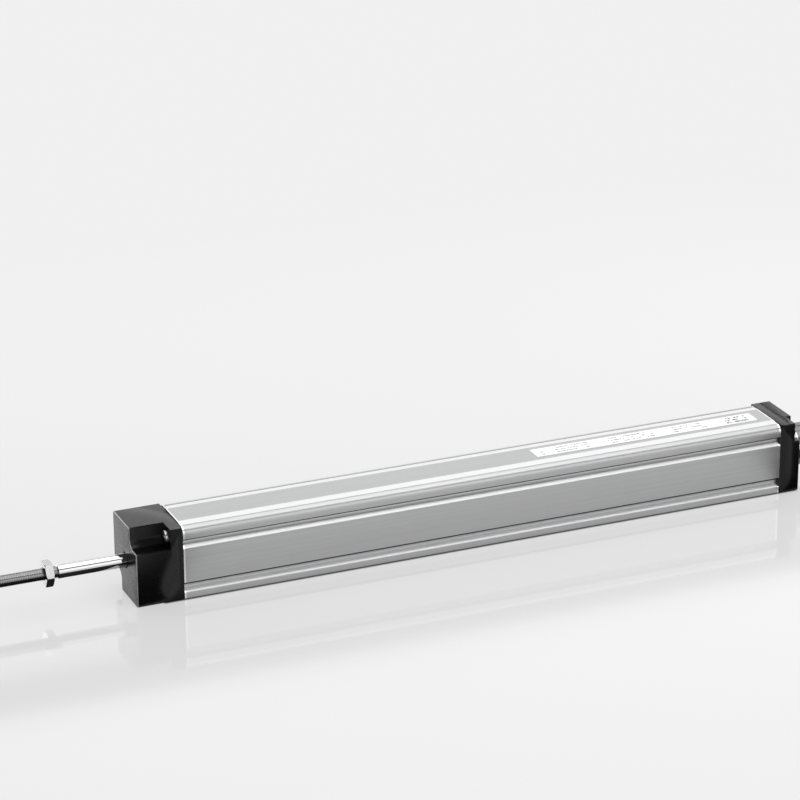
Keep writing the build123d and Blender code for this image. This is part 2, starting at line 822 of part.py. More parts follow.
# Pull rod: smooth bar with a threaded free end and a tapped inner end for the ball stud
with BuildPart() as pull_rod:
    turned([
        (rod_free_end, 0),
        (rod_free_end, rod_radius - rod_end_chamfer),
        (rod_free_end + rod_end_chamfer, rod_radius),
        (rod_thread_end, rod_radius),
        (rod_thread_end + thread_start_groove, rod_radius - thread_start_groove),
        (rod_thread_end + thread_start_width, rod_radius - thread_start_groove),
        (rod_thread_end + thread_start_width + thread_start_groove, rod_radius),
        (rod_inner_end - rod_end_chamfer, rod_radius),
        (rod_inner_end, rod_radius - rod_end_chamfer),
        (rod_inner_end, stud_radius + fit_gap),
        (stud_bore_end, stud_radius + fit_gap),
        (stud_bore_end - stud_radius / 2, 0),
    ])
write(pull_rod, "pull_rod")

# Ball stud on the rod's inner end
with BuildPart() as rod_ball:
    with BuildSketch(side_plane(0)):
        with BuildLine():
            neck_meet = sqrt(ball_radius**2 - ball_neck_radius**2)
            Polyline(
                (rod_inner_end - stud_length, rod_height),
                (rod_inner_end - stud_length, rod_height + stud_radius),
                (rod_inner_end, rod_height + stud_radius),
                (rod_inner_end, rod_height + ball_neck_radius),
                (ball_place - neck_meet, rod_height + ball_neck_radius),
            )
            ThreePointArc(
                (ball_place - neck_meet, rod_height + ball_neck_radius),
                (ball_place, rod_height + ball_radius),
                (ball_place + ball_radius, rod_height),
            )
            Line((ball_place + ball_radius, rod_height), (rod_inner_end - stud_length, rod_height))
        make_face()
    revolve(axis=Axis((0, 0, rod_height), (1, 0, 0)))
write(rod_ball, "rod_ball")

# Lock nut: hexagon with turned corners on both faces
nut_front = rod_free_end + nut_from_end
nut_back = nut_front + nut_thickness
nut_corner = nut_flats / sqrt(3)
with BuildPart() as lock_nut:
    with BuildSketch(section_plane(nut_front)):
        with Locations((0, rod_height)):
            RegularPolygon(nut_corner, 6, rotation=30 - nut_turn)
    extrude(amount=nut_thickness)
    with BuildSketch(side_plane(0)):
        with BuildLine():
            Polyline(
                (nut_front, rod_height),
                (nut_front, rod_height + nut_flats / 2 - nut_face_inset),
                (nut_front + nut_corner_drop, rod_height + nut_corner + nut_bore_gap),
                (nut_back - nut_corner_drop, rod_height + nut_corner + nut_bore_gap),
                (nut_back, rod_height + nut_flats / 2 - nut_face_inset),
                (nut_back, rod_height),
                close=True,
            )
        make_face()
    revolve(axis=Axis((0, 0, rod_height), (1, 0, 0)), mode=Mode.INTERSECT)
    disc(nut_front, rod_radius + nut_bore_gap, nut_thickness, mode=Mode.SUBTRACT)
write(lock_nut, "lock_nut")

# Data label: a thin sticker on the plateau
with BuildPart() as data_label:
    with BuildSketch(Plane.XY.offset(full_height)):
        with Locations((profile_rear - label_from_rear - label_length / 2, 0)):
            RectangleRounded(label_length, label_width, label_corner)
    extrude(amount=label_thickness)
write(data_label, "data_label")
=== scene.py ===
"""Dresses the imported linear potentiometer: a pull rod sensor in a grooved aluminium profile.

Every length is in metres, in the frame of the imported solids. +X runs from the rod end to the
connector end, -Y is the near side and Z is up, with the underside at zero.
"""
import logging
import math
from dataclasses import dataclass, field
from enum import Enum

import bmesh
import bpy
from mathutils import Matrix, Vector


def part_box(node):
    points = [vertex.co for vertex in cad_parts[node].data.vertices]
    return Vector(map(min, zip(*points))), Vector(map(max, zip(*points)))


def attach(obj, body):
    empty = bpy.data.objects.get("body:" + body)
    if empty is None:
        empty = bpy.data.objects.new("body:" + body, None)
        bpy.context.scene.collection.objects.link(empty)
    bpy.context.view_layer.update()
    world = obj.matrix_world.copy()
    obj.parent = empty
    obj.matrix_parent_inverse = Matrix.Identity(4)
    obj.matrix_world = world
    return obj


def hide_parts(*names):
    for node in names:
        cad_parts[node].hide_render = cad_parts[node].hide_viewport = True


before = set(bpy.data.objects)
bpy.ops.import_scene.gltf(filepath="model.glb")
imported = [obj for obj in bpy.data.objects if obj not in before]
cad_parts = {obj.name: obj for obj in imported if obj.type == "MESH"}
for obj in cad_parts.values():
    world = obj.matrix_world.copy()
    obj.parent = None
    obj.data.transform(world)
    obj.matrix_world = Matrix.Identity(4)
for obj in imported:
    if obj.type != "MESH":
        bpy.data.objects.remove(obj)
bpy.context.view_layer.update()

logging.basicConfig(level=logging.INFO, format="%(message)s")
log = logging.getLogger("linear_potentiometer")

MM = 0.001
TINY = 1e-5
WELD = 0.0005 * MM
THREAD_DEPTH = 0.61
ROD_CREST = 3.0 * MM
SHELL_CREST = 10.0 * MM
M_PITCH = 1.0 * MM
WHITE = (1.0, 1.0, 1.0, 1.0)
Point2 = tuple[float, float]
Colour = tuple[float, float, float]
AXIS_HEIGHT = sum(corner.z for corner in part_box("pull_rod")) / 2


class Body(Enum):
    """The bodies that the made pieces ride on."""

    HOUSING = "housing"
    ROD = "rod"


class Facing(Enum):
    """The way an end screw's head looks."""

    FRONT = -1
    REAR = 1


class Signal:
    """One node socket with arithmetic, so that shader and geometry maths read as expressions."""

    def __init__(self, graph: "Graph", socket: bpy.types.NodeSocket) -> None:
        """Keeps the socket and the graph that new Math nodes go into."""
        self.graph = graph
        self.socket = socket

    def maths(self, operation: str, *values: "Signal | float", clamp: bool = False) -> "Signal":
        """Adds one Math node.

        Args:
            operation: The Math node's operation.
            values: Its inputs, in order.
            clamp: Whether the result is held between 0 and 1.

        Returns:
            The result as a new signal.
        """
        node = self.graph.node(
            "ShaderNodeMath", {"operation": operation, "use_clamp": clamp}, dict(enumerate(values))
        )
        return node.out(0)

    def __add__(self, other: "Signal | float") -> "Signal":
        """Sum."""
        return self.maths("ADD", self, other)

    __radd__ = __add__

    def __sub__(self, other: "Signal | float") -> "Signal":
        """Difference."""
        return self.maths("SUBTRACT", self, other)

    def __rsub__(self, other: float) -> "Signal":
        """Difference from a number."""
        return self.maths("SUBTRACT", other, self)

    def __mul__(self, other: "Signal | float") -> "Signal":
        """Product."""
        return self.maths("MULTIPLY", self, other)

    __rmul__ = __mul__

    def __truediv__(self, other: "Signal | float") -> "Signal":
        """Quotient."""
        return self.maths("DIVIDE", self, other)

    def __rtruediv__(self, other: float) -> "Signal":
        """Quotient of a number."""
        return self.maths("DIVIDE", other, self)

    def __pow__(self, other: float) -> "Signal":
        """Power."""
        return self.maths("POWER", self, other)

    def __gt__(self, other: "Signal | float") -> "Signal":
        """1 where the signal is larger."""
        return self.maths("GREATER_THAN", self, other)

    def __lt__(self, other: "Signal | float") -> "Signal":
        """1 where the signal is smaller."""
        return self.maths("LESS_THAN", self, other)

    def __abs__(self) -> "Signal":
        """Size without sign."""
        return self.maths("ABSOLUTE", self)

    def ramp_up(self, low: float, high: float) -> "Signal":
        """0 below low, 1 above high, and straight between them."""
        return self.maths("DIVIDE", self - low, high - low, clamp=True)


Number = Signal | float


class Placed:
    """One added node, whose outputs are read as signals."""

    def __init__(self, graph: "Graph", node: bpy.types.Node) -> None:
        """Keeps the node."""
        self.graph = graph
        self.node = node

    def out(self, name: "str | int") -> Signal:
        """The output with that name or place."""
        return Signal(self.graph, self.node.outputs[name])


class Graph:
    """A node tree that is filled through one method."""

    def __init__(self, tree: bpy.types.NodeTree) -> None:
        """Keeps the tree."""
        self.tree = tree

    def node(self, kind: str, settings: dict | None = None, inputs: dict | None = None) -> Placed:
        """Adds one node.

        Args:
            kind: The node's type name.
            settings: Properties that are set first.
            inputs: Values or signals by socket name or place.

        Returns:
            The placed node.
        """
        made = self.tree.nodes.new(kind)
        for name, value in (settings or {}).items():
            setattr(made, name, value)
        for name, value in (inputs or {}).items():
            socket = made.inputs[name]
            if isinstance(value, Signal):
                self.tree.links.new(value.socket, socket)
            elif isinstance(value, (list, tuple)) and value and isinstance(value[0], Signal):
                for part in value:
                    self.tree.links.new(part.socket, socket)
            else:
                socket.default_value = value
        return Placed(self, made)


class Shading(Graph):
    """A material's node tree, with the few node groups that the finishes share."""

    def __init__(self, name: str) -> None:
        """Starts an empty material with a Principled shader and an output."""
        self.material = bpy.data.materials.new(name)
        self.material.use_nodes = True
        super().__init__(self.material.node_tree)
        self.tree.nodes.clear()
        self.shader = self.node("ShaderNodeBsdfPrincipled")
        self.output = self.node("ShaderNodeOutputMaterial", inputs={"Surface": self.shader.out("BSDF")})
        self.place = self.node("ShaderNodeTexCoord").out("Object")

    def show(self, surface: Placed) -> None:
        """Shows another shader in place of the plain one."""
        self.tree.links.new(surface.node.outputs[0], self.output.node.inputs["Surface"])

    def noise(self, scale: "float | tuple[float, float, float]", detail: float = 2.0) -> Signal:
        """Noise between 0 and 1 in object coordinates.

        Args:
            scale: Cells per metre, the same along all axes or one for each.
            detail: Octaves of finer noise.

        Returns:
            The noise.
        """
        cells = scale if isinstance(scale, tuple) else (scale,) * 3
        spot = self.node("ShaderNodeMapping", inputs={"Vector": self.place, "Scale": cells}).out(0)
        return self.node("ShaderNodeTexNoise", inputs={"Vector": spot, "Scale": 1.0, "Detail": detail}).out(0)

    def axes(self) -> tuple[Signal, Signal, Signal]:
        """The three object coordinates as separate signals."""
        parts = self.node("ShaderNodeSeparateXYZ", inputs={"Vector": self.place})
        return parts.out(0), parts.out(1), parts.out(2)

    def mixed(self, share: Signal, low: "Signal | Colour", high: Colour) -> Signal:
        """A colour, fixed or a signal, that gives way to another by a share from 0 to 1."""
        first = low if isinstance(low, Signal) else (*low, 1.0)
        return self.node("ShaderNodeMix", {"data_type": "RGBA"}, {0: share, 6: first, 7: (*high, 1.0)}).out(2)

    def bump(self, height: Signal, distance: float, strength: float = 1.0) -> None:
        """Raises the surface by a height signal, whose full swing is distance in metres."""
        made = self.node(
            "ShaderNodeBump", inputs={"Strength": strength, "Distance": distance, "Height": height}
        )
        self.tree.links.new(made.node.outputs[0], self.shader.node.inputs["Normal"])

    def set(self, **values: "Signal | float | Colour") -> None:
        """Sets or links the shader's sockets; an underscore in a name stands for a space."""
        for name, value in values.items():
            socket = self.shader.node.inputs[name.replace("_", " ")]
            if isinstance(value, Signal):
                self.tree.links.new(value.socket, socket)
            elif isinstance(value, tuple):
                socket.default_value = (*value, 1.0)
            else:
                socket.default_value = value


@dataclass(frozen=True)
class Finish:
    """A finish that can be built once as a material."""

    name: str
    slot: str

    def dress(self, shading: Shading) -> None:
        """Fills the shading; each finish has its own."""
        raise NotImplementedError

    def material(self) -> bpy.types.Material:
        """The finish's material, built at its first use."""
        known = bpy.data.materials.get(self.name)
        if known is not None:
            return known
        shading = Shading(self.name)
        self.dress(shading)
        return shading.material


@dataclass(frozen=True)
class DrawnAluminium(Finish):
    """Clear anodised extrusion: fine die lines along X, faint mottling, painted highlights and painted shade.
    """

    tone: Colour = (0.51, 0.512, 0.516)
    dark: Colour = (0.41, 0.412, 0.416)
    # Colour of the painted highlights on the top bands, the groove flanks and the cut ends.
    painted_highlight: Colour = (0.80, 0.802, 0.806)
    # Colour of the painted shade in the seams and at the groove brows.
    shaded: Colour = (0.04, 0.04, 0.042)
    roughness: float = 0.27
    cut_end: float = 0.1408
    band: tuple[float, float] = (7.1 * MM, 10.9 * MM)
    band_above: float = 32.2 * MM
    seam_to: float = 11.2 * MM
    seam_share: float = 0.45
    flank_share: float = 0.4
    brows: tuple[tuple[float, float], ...] = ((6.7 * MM, 7.65 * MM), (26.6 * MM, 27.4 * MM))
    flanks: tuple[tuple[float, float], ...] = ((3.3 * MM, 6.7 * MM), (23.3 * MM, 26.6 * MM))

    def dress(self, shading: Shading) -> None:
        """Die lines long in X and thin across; painted highlights on two top bands, the groove flanks and the
        cut ends; painted shade in the seams and at the groove brows.
        """
        along, across, up = shading.axes()
        fine = shading.noise((9.0, 5200.0, 5200.0), 3.0)
        broad = shading.noise((5.0, 900.0, 900.0), 2.0)
        mottle = shading.noise((160.0, 260.0, 260.0), 3.0)
        lines = (fine * 0.5 + broad * 0.5).ramp_up(0.25, 0.75)
        cut = abs(along) > self.cut_end
        beside = abs(across)
        top = up > self.band_above
        band = (beside > self.band[0]) * (beside < self.band[1]) * top
        # Painted shade: the seams and the groove brows are mixed towards the near-black colour.
        seam = (beside > self.band[1]) * (beside < self.seam_to) * top
        brow = sum((up > low) * (up < high) for low, high in self.brows)
        flank = sum((up > low) * (up < high) for low, high in self.flanks)
        # Painted highlight: the top bands, part of the groove flanks and the cut ends are mixed towards the
        # lighter colour.
        highlight_share = (band + flank * self.flank_share + cut).ramp_up(0.0, 1.0)
        tone = (lines * 0.75 + mottle * 0.25).ramp_up(0.0, 1.0)
        plain = shading.mixed(tone, self.dark, self.tone)
        lines_and_highlights = shading.mixed(highlight_share, plain, self.painted_highlight)
        shading.set(
            Base_Color=shading.mixed(seam * self.seam_share + brow, lines_and_highlights, self.shaded),
            Metallic=1.0,
            Roughness=self.roughness + 0.10 * fine + 0.05 * mottle - 0.1 * cut,
        )
        shading.bump(fine * 0.6 + broad * 0.4, 0.006 * MM, 0.6)


@dataclass(frozen=True)
class MouldedPlastic(Finish):
    """Black moulding: fine spark eroded grain, flow marks, light scuffs and a painted highlight along the
    front edge.
    """

    tone: Colour = (0.0015, 0.0015, 0.0016)
    worn: Colour = (0.006, 0.006, 0.0062)
    # Colour of the painted highlight on the rounded edges round the head's front face.
    painted_edge_highlight: Colour = (0.42, 0.42, 0.42)
    edge_highlight_from: float = -0.16247
    edge_highlight_to: float = -0.1620
    roughness: float = 0.2
    reflectance: float = 1.42

    def dress(self, shading: Shading) -> None:
        """Grain in the height and roughness, scuffs and a painted edge highlight in the colour."""
        grain = shading.noise(2600.0, 2.0)
        flow = shading.noise((90.0, 240.0, 240.0), 3.0)
        scuff = shading.noise((700.0, 190.0, 1100.0), 4.0).ramp_up(0.60, 0.78)
        along, _, _ = shading.axes()
        # Painted highlight: a thin strip at the rounded edges round the head's front face is mixed towards
        # light grey.
        edge = (along > self.edge_highlight_from) * (along < self.edge_highlight_to) * (0.35 + flow)
        body = shading.mixed(scuff * 0.6 + flow * 0.25, self.tone, self.worn)
        shading.set(
            Base_Color=shading.mixed(edge.ramp_up(0.0, 1.0), body, self.painted_edge_highlight),
            Roughness=self.roughness + 0.10 * flow + 0.10 * scuff + 0.06 * grain,
            IOR=self.reflectance,
        )
        shading.bump(grain * 0.8 + flow * 0.2, 0.012 * MM, 0.5)


@dataclass(frozen=True)
class Rubber(Finish):
    """Smooth black rubber with a dusty bloom."""

    tone: Colour = (0.012, 0.012, 0.012)
    bloom: Colour = (0.035, 0.035, 0.034)

    def dress(self, shading: Shading) -> None:
        """Bloom in the colour and a soft uneven skin."""
        dust = shading.noise(900.0, 4.0)
        shading.set(
            Base_Color=shading.mixed(dust.ramp_up(0.4, 0.8), self.tone, self.bloom),
            Roughness=0.55 + 0.2 * dust,
            IOR=1.4,
        )
        shading.bump(dust, 0.01 * MM, 0.4)


@dataclass(frozen=True)
class TurnedMetal(Finish):
    """Metal turned or ground round the X axis, with fine rings and a little stain.

    The rings are the tool marks: thin in X and without end round the piece.
    """

    tone: Colour = (0.62, 0.62, 0.625)
    stain: Colour = (0.48, 0.475, 0.465)
    roughness: float = 0.02
    rings_per_metre: float = 5200.0
    ring_depth: float = 0.002 * MM

    def dress(self, shading: Shading) -> None:
        """Rings in the height and roughness, stain in the colour."""
        rings = shading.noise((self.rings_per_metre, 12.0, 12.0), 2.0)
        spots = shading.noise((420.0, 620.0, 620.0), 4.0).ramp_up(0.5, 0.8)
        shading.set(
            Base_Color=shading.mixed(spots * 0.6 + rings * 0.2, self.tone, self.stain),
            Metallic=1.0,
            Roughness=self.roughness + 0.05 * rings + 0.06 * spots,
        )
        shading.bump(rings, self.ring_depth, 0.5)


@dataclass(frozen=True)
class ThreadMetal(Finish):
    """A metal thread whose roots are painted dark as shade and whose crests are lighter."""

    crest: float
    depth: float
    tone: Colour = (0.88, 0.88, 0.875)
    # Colour of the painted shade in the thread's roots.
    root: Colour = (0.16, 0.16, 0.16)
    roughness: float = 0.2

    def dress(self, shading: Shading) -> None:
        """Tone by the distance from the axis, painted dark towards the roots as shade, with specks in the
        colour and roughness.
        """
        _, across, up = shading.axes()
        lift = up - AXIS_HEIGHT
        reach = (across * across + lift * lift) ** 0.5
        specks = shading.noise((2600.0, 900.0, 900.0), 3.0)
        # Painted shade: the colour runs from the root tone in the roots to the crest tone.
        share = (reach.ramp_up(self.crest - self.depth, self.crest) * (0.7 + 0.3 * specks)).ramp_up(0.1, 0.9)
        shading.set(
            Base_Color=shading.mixed(share, self.root, self.tone),
            Metallic=1.0,
            Roughness=self.roughness + 0.12 * specks,
        )
        shading.bump(specks, 0.003 * MM, 0.5)


@dataclass(frozen=True)
class PlatedMetal(Finish):
    """Plated steel: soft blotches, small pits and handling marks."""

    tone: Colour = (0.70, 0.70, 0.69)
    dull: Colour = (0.50, 0.50, 0.49)
    roughness: float = 0.20
    relief: float = 0.006 * MM

    def dress(self, shading: Shading) -> None:
        """Blotches in colour and roughness, pits in the height."""
        blotch = shading.noise(320.0, 4.0)
        pits = shading.noise(2400.0, 2.0)
        marks = shading.noise((2600.0, 300.0, 300.0), 3.0).ramp_up(0.58, 0.75)
        shading.set(
            Base_Color=shading.mixed((blotch + marks * 0.5).ramp_up(0.35, 1.1), self.tone, self.dull),
            Metallic=1.0,
            Roughness=self.roughness + 0.12 * blotch + 0.08 * marks,
        )
        shading.bump(pits, self.relief, 0.5)


@dataclass(frozen=True)
class MouldedPale(Finish):
    """Bearing plastic, laminate, film and wire covers: a tinted body with its own grain."""

    tone: Colour = (0.78, 0.77, 0.73)
    second: Colour = (0.66, 0.65, 0.61)
    roughness: float = 0.4
    grain: tuple[float, float, float] = (1500.0, 1500.0, 1500.0)
    relief: float = 0.008 * MM
    metallic: float = 0.0

    def dress(self, shading: Shading) -> None:
        """Grain in the colour, roughness and height."""
        grain = shading.noise(self.grain, 3.0)
        cloud = shading.noise(200.0, 2.0)
        shading.set(
            Base_Color=shading.mixed((grain * 0.6 + cloud * 0.4).ramp_up(0.3, 0.7), self.tone, self.second),
            Metallic=self.metallic,
            Roughness=self.roughness + 0.12 * grain,
        )
        shading.bump(grain, self.relief, 0.5)


@dataclass(frozen=True)
class LabelFilm(Finish):
    """Satin white film with a faint fibre, slightly soiled in patches."""

    tone: Colour = (0.40, 0.40, 0.40)
    soiled: Colour = (0.36, 0.36, 0.355)

    def dress(self, shading: Shading) -> None:
        """Fibre and soil in the colour, orange peel in the height."""
        fibre = shading.noise((500.0, 1800.0, 1800.0), 3.0)
        soil = shading.noise((60.0, 200.0, 200.0), 3.0)
        shading.set(
            Base_Color=shading.mixed((fibre * 0.4 + soil * 0.6).ramp_up(0.4, 0.75), self.tone, self.soiled),
            Roughness=0.34 + 0.12 * fibre,
        )
        shading.bump(fibre, 0.004 * MM, 0.5)


@dataclass(frozen=True)
class Ink(Finish):
    """Printed ink that lets the film through in specks."""

    tone: Colour = (0.03, 0.03, 0.03)
    faded: Colour = (0.16, 0.16, 0.16)

    def dress(self, shading: Shading) -> None:
        """Specks in the colour."""
        specks = shading.noise(3800.0, 2.0)
        shading.set(
            Base_Color=shading.mixed(specks.ramp_up(0.45, 0.75), self.tone, self.faded),
            Roughness=0.4 + 0.2 * specks,
        )
        shading.bump(specks, 0.002 * MM, 0.4)


ALUMINIUM = DrawnAluminium("drawn_aluminium", "profile_aluminium")
BLACK_PLASTIC = MouldedPlastic("black_moulding", "black_plastic")
INSERT_PLASTIC = MouldedPlastic("insert_moulding", "insert_plastic", (0.03, 0.03, 0.03), (0.06, 0.06, 0.06))
BLACK_RUBBER = Rubber("black_rubber", "black_rubber")
ROD_STEEL = TurnedMetal("ground_steel", "rod_steel")
THREAD_STEEL = ThreadMetal("rolled_thread_steel", "rod_steel", ROD_CREST, THREAD_DEPTH * M_PITCH)
NUT_STEEL = PlatedMetal(
    "plated_nut_steel", "nut_steel", (0.54, 0.54, 0.535), (0.46, 0.46, 0.455), 0.14, 0.0015 * MM
)
SCREW_STEEL = PlatedMetal("dark_screw_steel", "screw_steel", (0.42, 0.42, 0.43), (0.22, 0.22, 0.22), 0.18)
SHELL_METAL = TurnedMetal(
    "turned_nickel", "shell_metal", (0.72, 0.715, 0.70), (0.55, 0.545, 0.53), 0.16, 3000.0, 0.004 * MM
)
SHELL_THREAD = ThreadMetal("cut_shell_thread", "shell_metal", SHELL_CREST, THREAD_DEPTH * M_PITCH)
CONTACT_GOLD = PlatedMetal("contact_gold", "contact_gold", (0.83, 0.62, 0.28), (0.66, 0.48, 0.22), 0.2)
BEARING_BRONZE = TurnedMetal(
    "bearing_bronze", "bearing_bronze", (0.55, 0.38, 0.20), (0.36, 0.25, 0.14), 0.3, 2600.0, 0.006 * MM
)
SPRING_BRONZE = PlatedMetal("spring_bronze", "spring_bronze", (0.72, 0.50, 0.31), (0.55, 0.37, 0.22), 0.22)
TERMINAL_METAL = PlatedMetal("tinned_terminal", "terminal_metal", (0.72, 0.71, 0.68), (0.5, 0.5, 0.47), 0.28)
LAMINATE = MouldedPale(
    "glass_laminate", "board_laminate", (0.10, 0.24, 0.13), (0.07, 0.18, 0.10), 0.4, (2200.0, 2200.0, 600.0)
)
RESISTIVE_FILM = MouldedPale(
    "resistive_film", "resistive_film", (0.035, 0.035, 0.038), (0.02, 0.02, 0.022), 0.3,
    (300.0, 3200.0, 3200.0),
)
COLLECTOR_FILM = MouldedPale(
    "collector_film", "collector_film", (0.62, 0.62, 0.60), (0.5, 0.5, 0.48), 0.35, (300.0, 3200.0, 3200.0)
)
WIRE_COVER = MouldedPale(
    "wire_cover", "wire_cover", (0.55, 0.08, 0.06), (0.42, 0.06, 0.045), 0.35, (900.0, 2600.0, 2600.0)
)
CARRIAGE_PLASTIC = MouldedPale("carriage_moulding", "carriage_plastic")
RUNNER_PLASTIC = MouldedPale(
    "runner_moulding", "runner_plastic", (0.86, 0.86, 0.84), (0.78, 0.78, 0.76), 0.32, (400.0, 2600.0, 2600.0)
)
LABEL_FILM = LabelFilm("label_film", "label_film")
LABEL_INK = Ink("label_ink", "label_film")


class Solid(Graph):
    """A Geometry Nodes tree with named sizes, turned into a plain mesh."""

    def __init__(self, name: str, sizes: dict[str, float]) -> None:
        """Starts the tree.

        Args:
            name: The tree's name.
            sizes: Its named inputs and their values, in metres or plain numbers.
        """
        super().__init__(bpy.data.node_groups.new(name, "GeometryNodeTree"))
        self.name = name
        self.sizes = sizes
        face = self.tree.interface
        face.new_socket("Geometry", in_out="INPUT", socket_type="NodeSocketGeometry")
        face.new_socket("Geometry", in_out="OUTPUT", socket_type="NodeSocketGeometry")
        for size in sizes:
            face.new_socket(size, in_out="INPUT", socket_type="NodeSocketFloat")
        self.entry = self.node("NodeGroupInput")

    def size(self, name: str) -> Signal:
        """The named input as a signal."""
        return self.entry.out(name)

    def vector(self, x: Number = 0.0, y: Number = 0.0, z: Number = 0.0) -> Signal:
        """Three numbers or signals as one vector."""
        return self.node("ShaderNodeCombineXYZ", inputs={0: x, 1: y, 2: z}).out(0)

    def position(self) -> tuple[Signal, Signal, Signal]:
        """Each point's place as three signals."""
        parts = self.node("ShaderNodeSeparateXYZ", inputs={0: self.node("GeometryNodeInputPosition").out(0)})
        return parts.out(0), parts.out(1), parts.out(2)

    def moved(self, mesh: Signal, offset: "Signal | None" = None, turn: Colour = (0.0, 0.0, 0.0)) -> Signal:
        """A geometry turned by three angles and then moved."""
        inputs: dict = {"Geometry": mesh, "Rotation": turn}
        if offset is not None:
            inputs["Translation"] = offset
        return self.node("GeometryNodeTransform", inputs=inputs).out(0)

    def cylinder(self, radius: Number, length: Number, sides: int, rings: int = 1) -> Signal:
        """A cylinder along Z about the origin."""
        return self.node(
            "GeometryNodeMeshCylinder",
            inputs={"Vertices": sides, "Side Segments": rings, "Radius": radius, "Depth": length},
        ).out("Mesh")

    def block(self, size: Signal) -> Signal:
        """A box about the origin."""
        return self.node("GeometryNodeMeshCube", inputs={"Size": size}).out("Mesh")

    def joined(self, *parts: Signal) -> Signal:
        """Several geometries as one."""
        return self.node("GeometryNodeJoinGeometry", inputs={0: list(parts)}).out(0)

    def cut(self, body: Signal, tools: Signal, operation: str = "DIFFERENCE") -> Signal:
        """A body less the tools, or what both share with INTERSECT."""
        inputs = {"Mesh 2": [body, tools]} if operation == "INTERSECT" else {"Mesh 1": body, "Mesh 2": tools}
        return self.node(
            "GeometryNodeMeshBoolean",
            {"operation": operation, "solver": "EXACT"},
            {**inputs, "Self Intersection": True},
        ).out(0)

    def at_points(self, points: Signal, shape: Signal) -> Signal:
        """Copies of a shape on points."""
        return self.node("GeometryNodeInstanceOnPoints", inputs={"Points": points, "Instance": shape}).out(0)

    def make(self, finish: Finish, base: bpy.types.ID | None = None, sharp: float = 30.0) -> bpy.types.Object:
        """Ends the tree in Realize Instances and Set Material and returns its plain mesh.

        Args:
            finish: The finish that the mesh gets.
            base: The mesh or curve that the tree reads, where it reads one.
            sharp: Edges above this angle, in degrees, stay sharp.

        Returns:
            A new object with the mesh.
        """
        material = finish.material()
        real = self.node("GeometryNodeRealizeInstances", inputs={0: self.result}).out(0)
        dressed = self.node("GeometryNodeSetMaterial", inputs={"Geometry": real, "Material": material}).out(0)
        self.node("NodeGroupOutput", inputs={0: dressed})
        holder = linked(self.name + "_base", base or bpy.data.meshes.new(self.name + "_base"))
        modifier = holder.modifiers.new("tree", "NODES")
        modifier.node_group = self.tree
        for item in self.tree.interface.items_tree:
            if item.in_out == "INPUT" and item.name in self.sizes:
                modifier[item.identifier] = float(self.sizes[item.name])
        graph = bpy.context.evaluated_depsgraph_get()
        mesh = bpy.data.meshes.new_from_object(holder.evaluated_get(graph), depsgraph=graph)
        holder.modifiers.remove(modifier)
        bpy.data.objects.remove(holder)
        return finished(self.name, mesh, finish, sharp)

    def ends(self, result: Signal) -> "Solid":
        """Names the geometry that the tree gives."""
        self.result = result
        return self


def linked(name: str, data: bpy.types.ID) -> bpy.types.Object:
    """A new object of the data, in the scene."""
    made = bpy.data.objects.new(name, data)
    bpy.context.scene.collection.objects.link(made)
    return made


def finished(name: str, mesh: bpy.types.Mesh, finish: Finish, sharp: float = 30.0) -> bpy.types.Object:
    """Links a mesh as a piece with its finish, smooth but for its sharp edges.

    Args:
        name: The piece's name.
        mesh: Its mesh, in place.
        finish: Its finish.
        sharp: Edges above this angle, in degrees, stay sharp.

    Returns:
        The piece.
    """
    mesh.name = name
    if not mesh.materials:
        mesh.materials.append(finish.material())
    mesh.shade_smooth()
    mesh.set_sharp_from_angle(angle=math.radians(sharp))
    piece = linked(name, mesh)
    return piece


def turned(name: str, outline: list[Point2], finish: Finish, sides: int = 96) -> bpy.types.Object:
    """A piece turned round the rod's axis.

    Args:
        name: The piece's name.
        outline: (x, radius) points; a radius of zero closes an end.
        finish: Its finish.
        sides: Facets round the axis.

    Returns:
        The piece.
    """
    points: list[tuple[float, float, float]] = []
    rings: list[list[int]] = []
    for x, radius in outline:
        count = 1 if radius < TINY else sides
        rings.append(list(range(len(points), len(points) + count)))
        for step in range(count):
            angle = 2 * math.pi * step / sides
            points.append((x, radius * math.cos(angle), AXIS_HEIGHT + radius * math.sin(angle)))
    faces: list[list[int]] = []
    for first, second in zip(rings, rings[1:]):
        for step in range(sides):
            after = (step + 1) % sides
            corner = [first[step % len(first)], first[after % len(first)]]
            corner += [second[after % len(second)], second[step % len(second)]]
            faces.append(list(dict.fromkeys(corner)))
    mesh = bpy.data.meshes.new(name)
    mesh.from_pydata(points, [], [face for face in faces if len(face) > 2])
    weld(mesh, outwards=True)
    return finished(name, mesh, finish)


def weld(mesh: bpy.types.Mesh, outwards: bool = False) -> None:
    """Merges a mesh's doubles and, where asked, turns the faces of a closed one outwards."""
    work = bmesh.new()
    work.from_mesh(mesh)
    bmesh.ops.remove_doubles(work, verts=work.verts, dist=WELD)
    if outwards:
        bmesh.ops.recalc_face_normals(work, faces=work.faces)
    work.to_mesh(mesh)
    work.free()


